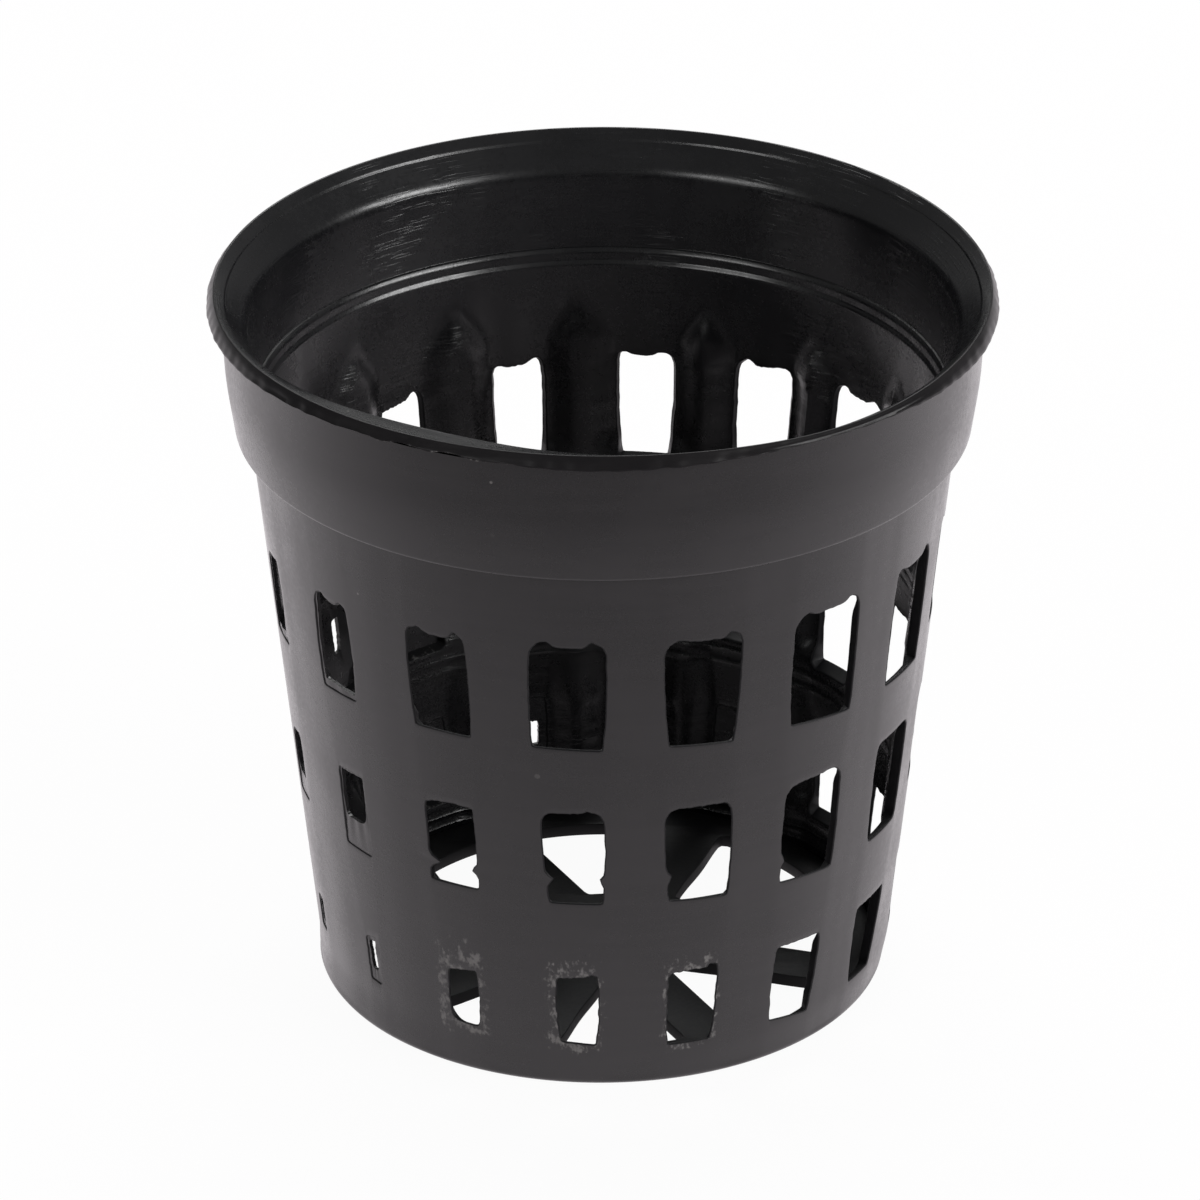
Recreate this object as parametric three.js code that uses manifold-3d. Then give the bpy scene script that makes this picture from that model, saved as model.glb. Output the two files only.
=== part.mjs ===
// Round slotted plant basket: one thin-walled moulding, drawn as the features that meet in it.
// Millimetres, +Z up, origin at the middle of the underside. A column of windows faces -Y.
import * as THREE from 'three';
import { mergeVertices } from 'three/addons/utils/BufferGeometryUtils.js';
import Module from 'manifold-3d';

// Tapered wall
const COLUMN_COUNT = 16;          // columns of windows, with as many uprights between them
const BASE_RADIUS = 19.1;         // outer wall carried down to the underside
const WALL_TAPER = 6.07;          // degrees by which the outer wall leans out
const WALL = 0.8;                 // wall beside a window
const RIB_RISE = 0.55;            // how far an upright's inner rib stands off that wall
const RIB_FLANK = 0.55;           // width of the slope at each side of a rib
const RIB_DROP = 0.9;             // from the collar's step down to the heads of the ribs
const BAR_EDGE = 0.35;            // thin lower edge of a bar, over a window
const CORE_DRAFT = 0.5;           // degrees by which the inner faces of bars and band lean out

// Heights of the wall, from the underside up
const BASE_BAND = 3.3;
const LOWER_WINDOW = 5.4;
const LOWER_BAR = 5.9;
const MIDDLE_WINDOW = 6.8;
const UPPER_BAR = 5.3;
const UPPER_WINDOW = 7.6;
const TOP_BAND = 5.7;

// Window column, a strip that narrows downwards
const HEAD_WIDTH = 4.8;           // at the heads of the upper windows
const SILL_WIDTH = 2.5;           // at the sills of the lower windows

// Collar over the wall
const COLLAR_STEP = 0.93;         // flat underside standing out from the wall
const COLLAR_HEIGHT = 8.5;        // from that step to the underside of the lip
const COLLAR_FLARE = 0.56;        // how far the lower part of the collar opens
const COLLAR_FLARE_HEIGHT = 3.8;
const COLLAR_DRAFT = 2.6;         // degrees by which the upper part of the collar leans out
const LEDGE_LIFT = 0.9;           // from the step up to the inner ledge
const LEDGE_WIDTH = 0.5;
const LEDGE_RISE = 0.45;
const BORE_DRAFT = 4.2;           // degrees by which the collar's inner face leans out

// Lip round the mouth
const LIP_OVERHANG = 0.95;        // lip beyond the collar
const LIP_EDGE = 0.15;            // height of the lip's thin outer edge
const LIP_SHOULDER = 0.8;         // from the lip's underside to the shoulder of its dome
const LIP_SHOULDER_INSET = 0.25;  // from the outer edge in to that shoulder
const LIP_HEIGHT = 1.05;          // from the lip's underside to its crest
const LIP_CREST_INSET = 0.55;     // from the outer edge in to the crest
const LIP_TOP_WIDTH = 1.2;        // from the outer edge in to the mouth
const LIP_DISH = 0.65;            // fall from the crest to the mouth
const MOUTH_DROP = 1.7;           // height of the flare inside the mouth

// Floor grille
const SPOKE_COUNT = 8;
const FLOOR = 0.9;                // thickness
const FOOT_ROUND = 1.0;           // rounding of the bottom edge
const FLOOR_RING = 3.1;           // width of the ring that carries the spokes, inside the wall
const HUB_RADIUS = 5.4;
const SPOKE_WIDTH = 3.0;

// Facets
const FACETS_PER_COLUMN = 6;
const ROUND_STEPS = 4;
const OVERCUT = 2.0;              // how far a cutting shape passes the faces that it cuts

const slope = (degrees) => Math.tan(THREE.MathUtils.degToRad(degrees));
const COLUMN_PITCH = 2 * Math.PI / COLUMN_COUNT;

const lowerSill = BASE_BAND;
const lowerHead = lowerSill + LOWER_WINDOW;
const middleSill = lowerHead + LOWER_BAR;
const middleHead = middleSill + MIDDLE_WINDOW;
const upperSill = middleHead + UPPER_BAR;
const upperHead = upperSill + UPPER_WINDOW;
const stepHeight = upperHead + TOP_BAND;
const ribHead = stepHeight - RIB_DROP;
const lipUnderside = stepHeight + COLLAR_HEIGHT;
const lipTop = lipUnderside + LIP_HEIGHT;
const mouthTop = lipTop - LIP_DISH;
const mouthBottom = mouthTop - MOUTH_DROP;
const ledgeBottom = stepHeight + LEDGE_LIFT;
const ledgeTop = ledgeBottom + LEDGE_RISE;

const wallRadius = (z) => BASE_RADIUS + z * slope(WALL_TAPER);
const baseBore = (z) => wallRadius(z) - WALL;
const bandBore = (z) => wallRadius(upperHead) - BAR_EDGE + (z - upperHead) * slope(CORE_DRAFT);
const collarBore = (z) => bandBore(ledgeBottom) + LEDGE_WIDTH + (z - ledgeTop) * slope(BORE_DRAFT);
const floorRingRadius = baseBore(FLOOR) - FLOOR_RING;

const stepRadius = wallRadius(stepHeight) + COLLAR_STEP;
const flareHeight = stepHeight + COLLAR_FLARE_HEIGHT;
const collarRadius = (z) => stepRadius + COLLAR_FLARE + (z - flareHeight) * slope(COLLAR_DRAFT);
const lipRadius = collarRadius(lipUnderside) + LIP_OVERHANG;

const columnTaper = (HEAD_WIDTH - SILL_WIDTH) / (upperHead - lowerSill);
const columnHalfWidth = (z) => (SILL_WIDTH + (z - lowerSill) * columnTaper) / 2;

const wasm = await Module();
wasm.setup();

// A closed mesh as a solid that can be cut.
function solid(geometry) {
  const bare = geometry.clone();
  bare.deleteAttribute('normal');
  bare.deleteAttribute('uv');
  const merged = mergeVertices(bare);
  const vertProperties = new Float32Array(merged.attributes.position.array);
  const triVerts = new Uint32Array(merged.index.array);
  return new wasm.Manifold(new wasm.Mesh({ numProp: 3, vertProperties, triVerts }));
}

// The surface of a solid, as a mesh again.
function surface(cut) {
  const { vertProperties, triVerts } = cut.getMesh();
  const geometry = new THREE.BufferGeometry();
  geometry.setAttribute('position', new THREE.BufferAttribute(new Float32Array(vertProperties), 3));
  geometry.setIndex(new THREE.BufferAttribute(new Uint32Array(triVerts), 1));
  geometry.computeVertexNormals();
  return geometry;
}

// A profile of [radius, height] points turned round the Z axis, with a facet edge on -Y.
function turned(profile) {
  const points = profile.map(([radius, height]) => new THREE.Vector2(radius, height));
  return new THREE.LatheGeometry(points, COLUMN_COUNT * FACETS_PER_COLUMN).rotateX(Math.PI / 2);
}

// A turned ring, whose profile closes on itself.
const turnedRing = (profile) => turned([...profile, profile[0]]);

// A solid between two sections of equal count, each anticlockwise seen from above.
function loft(lower, upper) {
  const count = lower.length;
  const caps = THREE.ShapeUtils.triangulateShape(lower.map(({ x, y }) => new THREE.Vector2(x, y)), []);
  const index = caps.flatMap(([a, b, c]) => [c, b, a, a + count, b + count, c + count]);
  for (let i = 0; i < count; i += 1) {
    const next = (i + 1) % count;
    index.push(i, next, next + count, i, next + count, i + count);
  }
  const geometry = new THREE.BufferGeometry().setFromPoints([...lower, ...upper]);
  geometry.setIndex(index);
  return geometry;
}

// The strip of a window column between two heights, drawn out along -Y through the wall.
function columnStrip(from, to) {
  const strip = new THREE.Shape([
    new THREE.Vector2(-columnHalfWidth(from), from),
    new THREE.Vector2(columnHalfWidth(from), from),
    new THREE.Vector2(columnHalfWidth(to), to),
    new THREE.Vector2(-columnHalfWidth(to), to),
  ]);
  const depth = wallRadius(to) + OVERCUT;
  return new THREE.ExtrudeGeometry(strip, { depth, bevelEnabled: false }).rotateX(Math.PI / 2);
}

// Lip: a domed flange with a thin outer edge, whose mouth flares inwards down to the collar.
function rimLip() {
  return turnedRing([
    [collarBore(mouthBottom), mouthBottom],
    [collarRadius(mouthBottom), mouthBottom],
    [collarRadius(lipUnderside), lipUnderside],
    [lipRadius, lipUnderside],
    [lipRadius, lipUnderside + LIP_EDGE],
    [lipRadius - LIP_SHOULDER_INSET, lipUnderside + LIP_SHOULDER],
    [lipRadius - LIP_CREST_INSET, lipTop],
    [lipRadius - LIP_TOP_WIDTH, mouthTop],
  ]);
}

// Collar: stepped outside and inside, with the thinning band that runs down to the upper windows.
function collar() {
  return turnedRing([
    [bandBore(upperHead), upperHead],
    [wallRadius(upperHead), upperHead],
    [wallRadius(stepHeight), stepHeight],
    [stepRadius, stepHeight],
    [collarRadius(flareHeight), flareHeight],
    [collarRadius(mouthBottom), mouthBottom],
    [collarBore(mouthBottom), mouthBottom],
    [collarBore(ledgeTop), ledgeTop],
    [bandBore(ledgeBottom), ledgeBottom],
  ]);
}

// Section of an upright at one height: side faces shared with the two columns, and a rib with sloped flanks.
function uprightSection(z) {
  const half = COLUMN_PITCH / 2;
  const beside = (radius) => new THREE.Vector3(
    radius * Math.sin(half) - columnHalfWidth(z) * Math.cos(half),
    -radius * Math.cos(half) - columnHalfWidth(z) * Math.sin(half),
    z,
  );
  const outer = beside(wallRadius(z) + OVERCUT);
  const inner = beside(wallRadius(z) - WALL);
  const rib = new THREE.Vector3(inner.x - RIB_FLANK, inner.y + RIB_RISE, z);
  const mirrored = ({ x, y }) => new THREE.Vector3(-x, y, z);
  return [outer, inner, rib, mirrored(rib), mirrored(inner), mirrored(outer)];
}

// Upright: as thick as the wall between the windows, with its rib running on behind the bands above and below.
function upright() {
  const room = turned([
    [0, FLOOR],
    [baseBore(FLOOR), FLOOR],
    [baseBore(lowerSill), lowerSill],
    [wallRadius(lowerSill), lowerSill],
    [wallRadius(upperHead), upperHead],
    [bandBore(upperHead), upperHead],
    [bandBore(ribHead), ribHead],
    [0, ribHead],
  ]);
  const bar = loft(uprightSection(FLOOR), uprightSection(ribHead));
  return surface(solid(bar).intersect(solid(room)));
}

// Crossbar: a wedge, thin over the window below it and thick at the sill above.
function crossbar(head, sill) {
  const thinEdge = wallRadius(head) - BAR_EDGE;
  const wedge = turnedRing([
    [thinEdge, head],
    [wallRadius(head), head],
    [wallRadius(sill), sill],
    [thinEdge + (sill - head) * slope(CORE_DRAFT), sill],
  ]);
  const strip = columnStrip(head - OVERCUT, sill + OVERCUT);
  return surface(solid(wedge).intersect(solid(strip)));
}

// Base ring: the band under the lower windows, with a rounded foot and the ring of the floor.
function baseRing() {
  const roundTop = FOOT_ROUND * (1 - Math.sin(THREE.MathUtils.degToRad(WALL_TAPER)));
  const centre = wallRadius(roundTop) - FOOT_ROUND * Math.cos(THREE.MathUtils.degToRad(WALL_TAPER));
  const sweep = Math.PI / 2 - THREE.MathUtils.degToRad(WALL_TAPER);
  const foot = [];
  for (let i = 0; i <= ROUND_STEPS; i += 1) {
    const turn = sweep * i / ROUND_STEPS;
    foot.push([centre + FOOT_ROUND * Math.sin(turn), FOOT_ROUND * (1 - Math.cos(turn))]);
  }
  return turnedRing([
    [floorRingRadius, 0],
    ...foot,
    [wallRadius(lowerSill), lowerSill],
    [baseBore(lowerSill), lowerSill],
    [baseBore(FLOOR), FLOOR],
    [floorRingRadius, FLOOR],
  ]);
}

// Hub: the disc in the middle of the floor.
function floorHub() {
  return turned([[0, 0], [HUB_RADIUS, 0], [HUB_RADIUS, FLOOR], [0, FLOOR]]);
}

// Spoke: a flat strip between the hub and the floor ring, with ends that follow both.
function spoke() {
  const gap = turnedRing([
    [HUB_RADIUS, 0],
    [floorRingRadius, 0],
    [floorRingRadius, FLOOR],
    [HUB_RADIUS, FLOOR],
  ]);
  const strip = new THREE.BoxGeometry(SPOKE_WIDTH, floorRingRadius + OVERCUT, FLOOR + OVERCUT);
  strip.translate(0, -(floorRingRadius + OVERCUT) / 2, FLOOR / 2);
  return surface(solid(gap).intersect(solid(strip)));
}

const plastic = new THREE.MeshStandardMaterial({ color: 0x2b2a2d, roughness: 0.5, metalness: 0 });

// A named piece, turned about the basket's axis from its place on -Y.
function piece(name, geometry, turn = 0) {
  const mesh = new THREE.Mesh(geometry, plastic);
  mesh.name = name;
  mesh.rotation.z = turn;
  return mesh;
}

const basket = new THREE.Group();
basket.add(piece('rim_lip', rimLip()));
basket.add(piece('collar', collar()));

const uprightShape = upright();
const upperBarShape = crossbar(middleHead, upperSill);
const lowerBarShape = crossbar(lowerHead, middleSill);
for (let column = 0; column < COLUMN_COUNT; column += 1) {
  const number = String(column + 1).padStart(2, '0');
  basket.add(piece(`upright_${number}`, uprightShape, (column + 0.5) * COLUMN_PITCH));
  basket.add(piece(`crossbar_upper_${number}`, upperBarShape, column * COLUMN_PITCH));
  basket.add(piece(`crossbar_lower_${number}`, lowerBarShape, column * COLUMN_PITCH));
}

basket.add(piece('base_ring', baseRing()));
basket.add(piece('floor_hub', floorHub()));
const spokeShape = spoke();
const spokePitch = 2 * Math.PI / SPOKE_COUNT;
for (let i = 0; i < SPOKE_COUNT; i += 1) {
  basket.add(piece(`spoke_${i + 1}`, spokeShape, i * spokePitch - COLUMN_PITCH / 2));
}

export default basket;
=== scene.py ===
"""Round slotted plant basket: one black moulding, dressed on its CAD frame and set in a pale studio."""

import logging
import math
from collections.abc import Callable
from dataclasses import dataclass, field, replace
from enum import Enum

import bmesh
import bpy
import numpy as np
from mathutils import Matrix, Vector


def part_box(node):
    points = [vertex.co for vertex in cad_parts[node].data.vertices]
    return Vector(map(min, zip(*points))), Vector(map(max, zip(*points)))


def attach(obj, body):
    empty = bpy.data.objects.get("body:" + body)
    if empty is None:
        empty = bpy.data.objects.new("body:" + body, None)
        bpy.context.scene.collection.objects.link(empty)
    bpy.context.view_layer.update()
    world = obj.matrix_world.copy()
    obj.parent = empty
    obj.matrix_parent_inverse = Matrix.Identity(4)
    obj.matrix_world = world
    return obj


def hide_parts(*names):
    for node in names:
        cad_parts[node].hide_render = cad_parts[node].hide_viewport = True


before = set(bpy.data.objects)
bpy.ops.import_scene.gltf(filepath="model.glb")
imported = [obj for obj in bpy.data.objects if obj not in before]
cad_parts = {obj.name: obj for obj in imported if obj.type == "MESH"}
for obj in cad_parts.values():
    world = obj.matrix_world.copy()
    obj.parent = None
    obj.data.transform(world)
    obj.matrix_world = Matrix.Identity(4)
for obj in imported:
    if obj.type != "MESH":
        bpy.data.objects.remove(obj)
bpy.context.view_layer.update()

MM = 0.001
BODY = "root"
COLUMNS = 16
PITCH = 2 * math.pi / COLUMNS
WINDOW_HALF_ARC = 8
PROFILE_ARC = 6

log = logging.getLogger("plant_basket")


class Skin(Enum):
    """Which part of the mould formed a face: the outer half, the inner half or where the two meet."""

    CAVITY = 0
    CORE = 1
    SHUTOFF = 2


class Row(Enum):
    """The three rows of windows."""

    LOWER = 0
    MIDDLE = 1
    UPPER = 2


def node_span(node: str) -> tuple[float, float]:
    """Lowest and highest point of a CAD node, in millimetres."""
    low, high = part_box(node)
    return low.z / MM, high.z / MM


def node_reach(node: str) -> float:
    """Largest radius of a round CAD node about the basket's axis, in millimetres."""
    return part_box(node)[1].x / MM


def ease(value: np.ndarray) -> np.ndarray:
    """Smooth step from 0 to 1.

    Args:
        value: positions, of which 0 to 1 is the step.

    Returns:
        The eased positions.
    """
    held = np.clip(value, 0.0, 1.0)
    return held * held * (3.0 - 2.0 * held)


def bump(value: np.ndarray, centre: float, width: float) -> np.ndarray:
    """Bell-shaped bump of height 1."""
    return np.exp(-(((value - centre) / width) ** 2))


def arch(height: float, share: np.ndarray) -> np.ndarray:
    """Low arch of a given height over the shares 0 to 1 of a line."""
    return height * 4.0 * share * (1.0 - share)


def ripple(turn: np.ndarray, seed: int, waves: tuple[int, int], count: int = 12) -> np.ndarray:
    """Seeded unevenness that closes on itself round the basket.

    Args:
        turn: angles round the axis, in radians.
        seed: picks the waves.
        waves: fewest and most waves in one turn.
        count: how many waves are summed.

    Returns:
        Values of about -1 to 1, one for each angle.
    """
    draw = np.random.default_rng(seed)
    total = np.zeros_like(turn)
    for number in draw.integers(waves[0], waves[1], count):
        total += np.sin(number * turn + draw.uniform(0.0, 2.0 * math.pi))
    return total / math.sqrt(2.0 * count)


@dataclass(frozen=True)
class Unevenness:
    """Seeded waves round the basket: their height in millimetres and what ripple needs."""

    height: float
    seed: int
    waves: tuple[int, int]
    count: int = 12

    def along(self, turn: np.ndarray) -> np.ndarray:
        """Height of the waves at each angle."""
        return self.height * ripple(turn, self.seed, self.waves, self.count)


def at_even_steps(line: np.ndarray, steps: int) -> np.ndarray:
    """The same line with its points set evenly along it.

    Args:
        line: points of the line, one in each row.
        steps: number of equal steps.

    Returns:
        steps + 1 points.
    """
    gone = np.concatenate([[0.0], np.cumsum(np.linalg.norm(np.diff(line, axis=0), axis=1))])
    wanted = np.linspace(0.0, gone[-1], steps + 1)
    return np.stack([np.interp(wanted, gone, line[:, axis]) for axis in range(line.shape[1])], axis=1)


def trimmed(line: np.ndarray, first: float, last: float) -> np.ndarray:
    """A line without its first and last stretch.

    Args:
        line: points of the line.
        first: length cut from its start.
        last: length cut from its end.

    Returns:
        The points of what is left.
    """
    gone = np.concatenate([[0.0], np.cumsum(np.linalg.norm(np.diff(line, axis=0), axis=1))])
    wanted = np.linspace(first, gone[-1] - last, len(line))
    return np.stack([np.interp(wanted, gone, line[:, axis]) for axis in range(2)], axis=1)


def rounded_loop(sides: list[np.ndarray], rounds: list[float], steps: list[int]) -> np.ndarray:
    """Joins sides into a loop, each corner rounded and standing in the middle of its rounding.

    Args:
        sides: the lines, each ending where the next one starts.
        rounds: rounding at the start of each side.
        steps: steps along each side.

    Returns:
        The loop's points, side after side, without a doubled last point.
    """
    count = len(sides)
    cut = [trimmed(side, rounds[i], rounds[(i + 1) % count]) for i, side in enumerate(sides)]
    arc = np.linspace(0.0, 1.0, 2 * WINDOW_HALF_ARC + 1)[:, None]
    corners = []
    for i in range(count):
        before, corner, after = cut[i - 1][-1], (sides[i - 1][-1] + sides[i][0]) / 2, cut[i][0]
        corners.append((1 - arc) ** 2 * before + 2 * arc * (1 - arc) * corner + arc**2 * after)
    parts = []
    for i in range(count):
        start, end = corners[i][WINDOW_HALF_ARC:], corners[(i + 1) % count][:WINDOW_HALF_ARC + 1]
        whole = np.concatenate([start, cut[i][1:-1], end])
        parts.append(at_even_steps(whole, steps[i])[:-1])
    return np.concatenate(parts)


def outward(loop: np.ndarray) -> np.ndarray:
    """Unit normals of an anticlockwise loop, pointing out of it.

    Args:
        loop: the loop's points.

    Returns:
        One normal for each point.
    """
    along = np.roll(loop, -1, axis=0) - np.roll(loop, 1, axis=0)
    normal = np.stack([along[:, 1], -along[:, 0]], axis=1)
    return normal / np.linalg.norm(normal, axis=1, keepdims=True)


@dataclass(frozen=True)
class BasketSizes:
    """Sizes of the moulding in millimetres: heights from the CAD frame, thicknesses as it was drawn."""

    sills: tuple[float, float, float] = (
        node_span("base_ring")[1], node_span("crossbar_lower_01")[1], node_span("crossbar_upper_01")[1])
    heads: tuple[float, float, float] = (
        node_span("crossbar_lower_01")[0], node_span("crossbar_upper_01")[0], node_span("collar")[0])
    rib_head: float = node_span("upright_01")[1]
    mouth_bottom: float = node_span("rim_lip")[0]
    top: float = node_span("rim_lip")[1]
    reach: float = node_reach("rim_lip")
    hub_radius: float = node_reach("floor_hub")
    floor: float = node_span("floor_hub")[1]
    base_radius: float = 19.1
    taper: float = math.tan(math.radians(6.07))
    side_wall: float = 0.8
    window_edge: float = 0.38
    rib_rise: float = 0.27
    rib_flank: float = 2.1
    rib_tip: float = 4.6
    rib_drop: float = 0.9
    bar_edge: float = 0.35
    core_draft: float = math.tan(math.radians(0.5))
    least_wall: float = 0.28
    head_width: float = 4.8
    sill_width: float = 2.5
    foot_round: float = 0.55
    collar_step: float = 0.93
    floor_ring: float = 15.3

    @property
    def step(self) -> float:
        """Height of the collar's step."""
        return self.rib_head + self.rib_drop

    def wall_radius(self, z: np.ndarray) -> np.ndarray:
        """Outer radius of the tapered wall at a height."""
        return self.base_radius + z * self.taper

    def half_width(self, z: np.ndarray) -> np.ndarray:
        """Half the width of a window column at a height."""
        grow = (self.head_width - self.sill_width) / (self.heads[2] - self.sills[0])
        return (self.sill_width + (z - self.sills[0]) * grow) / 2

    def wedge(self, z: np.ndarray, head: float) -> np.ndarray:
        """Thickness of a bar or band that starts thin over a window head."""
        inner = self.wall_radius(head) - self.bar_edge + (z - head) * self.core_draft
        return np.maximum(self.wall_radius(z) - inner, self.least_wall)


SIZES = BasketSizes()

# Two values that belong together, at the ends of a line or of a range.
Ends = tuple[float, float]


@dataclass(frozen=True)
class WindowShape:
    """Outline of one window as its departures from the drawn one, in millimetres.

    The sides move outwards, given at the head and at the sill. All other pairs are left and right: head and
    sill move upwards, ears stand on the head, insets are their distances from its ends, nubs are teeth of
    flash on the sides, rounds and feet are the roundings of the upper and lower corners.
    """

    left: Ends = (0.0, 0.0)
    right: Ends = (0.0, 0.0)
    head: Ends = (0.1, 0.1)
    sill: Ends = (0.0, 0.0)
    ears: Ends = (0.35, 0.35)
    insets: Ends = (0.85, 0.75)
    ear_widths: Ends = (0.42, 0.36)
    rounds: Ends = (0.8, 0.7)
    feet: Ends = (0.12, 0.12)
    nubs: Ends = (0.0, 0.0)
    nub_lift: float = 1.8
    nub_width: float = 0.33
    sag: float = 0.1
    bulge: float = 0.12
    rough: float = 0.03
    rough_waves: tuple[int, int] = (5, 34)
    calm_sill: float = 0.9
    fine_steps: int = 90

    def side(self, row: Row, hand: int) -> np.ndarray:
        """One side from sill to head.

        Args:
            row: which row of windows it is in.
            hand: 0 for the left side, 1 for the right.

        Returns:
            Points (distance from the middle of the column, height).
        """
        share = np.linspace(0.0, 1.0, self.fine_steps)
        at_head, at_sill = (self.left, self.right)[hand]
        sill = SIZES.sills[row.value]
        low, high = sill + self.sill[hand], SIZES.heads[row.value] + self.head[hand]
        z = low + (high - low) * share
        out = SIZES.half_width(z) + at_sill + (at_head - at_sill) * share + arch(self.bulge, share)
        return np.stack([out - self.nubs[hand] * bump(z, sill + self.nub_lift, self.nub_width), z], axis=1)

    def loop(self, row: Row, across: int, along: int, seed: int) -> np.ndarray:
        """The window's outline on the unrolled wall.

        Args:
            row: which row of windows it is in.
            across: steps along the sill and along the head.
            along: steps along each side.
            seed: picks the fine unevenness of the edge.

        Returns:
            Points (sideways, height), anticlockwise from the left end of the sill.
        """
        share = np.linspace(0.0, 1.0, self.fine_steps)
        left, right = self.side(row, 0), self.side(row, 1)
        left[:, 0] *= -1.0
        foot = left[0] + (right[0] - left[0]) * share[:, None]
        top = right[-1] + (left[-1] - right[-1]) * share[:, None]
        top[:, 1] += self.ears[0] * bump(top[:, 0], left[-1, 0] + self.insets[0], self.ear_widths[0])
        top[:, 1] += self.ears[1] * bump(top[:, 0], right[-1, 0] - self.insets[1], self.ear_widths[1])
        top[:, 1] -= arch(self.sag, share)
        loop = rounded_loop(
            [foot, right, top, left[::-1]],
            [self.feet[0], self.feet[1], self.rounds[1], self.rounds[0]],
            [across, along, across, along])
        turn = np.linspace(0.0, 2.0 * math.pi, len(loop), endpoint=False)
        normal = outward(loop)
        calm = 1.0 - self.calm_sill * np.clip(-normal[:, 1], 0.0, 1.0)
        uneven = self.rough * ripple(turn, seed, self.rough_waves) * calm
        return loop + normal * uneven[:, None]


def square(**changes: float | Ends) -> WindowShape:
    """A window with a straight head: no ears and no sag."""
    return WindowShape(ears=(0.0, 0.0), sag=0.0, **changes)


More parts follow.
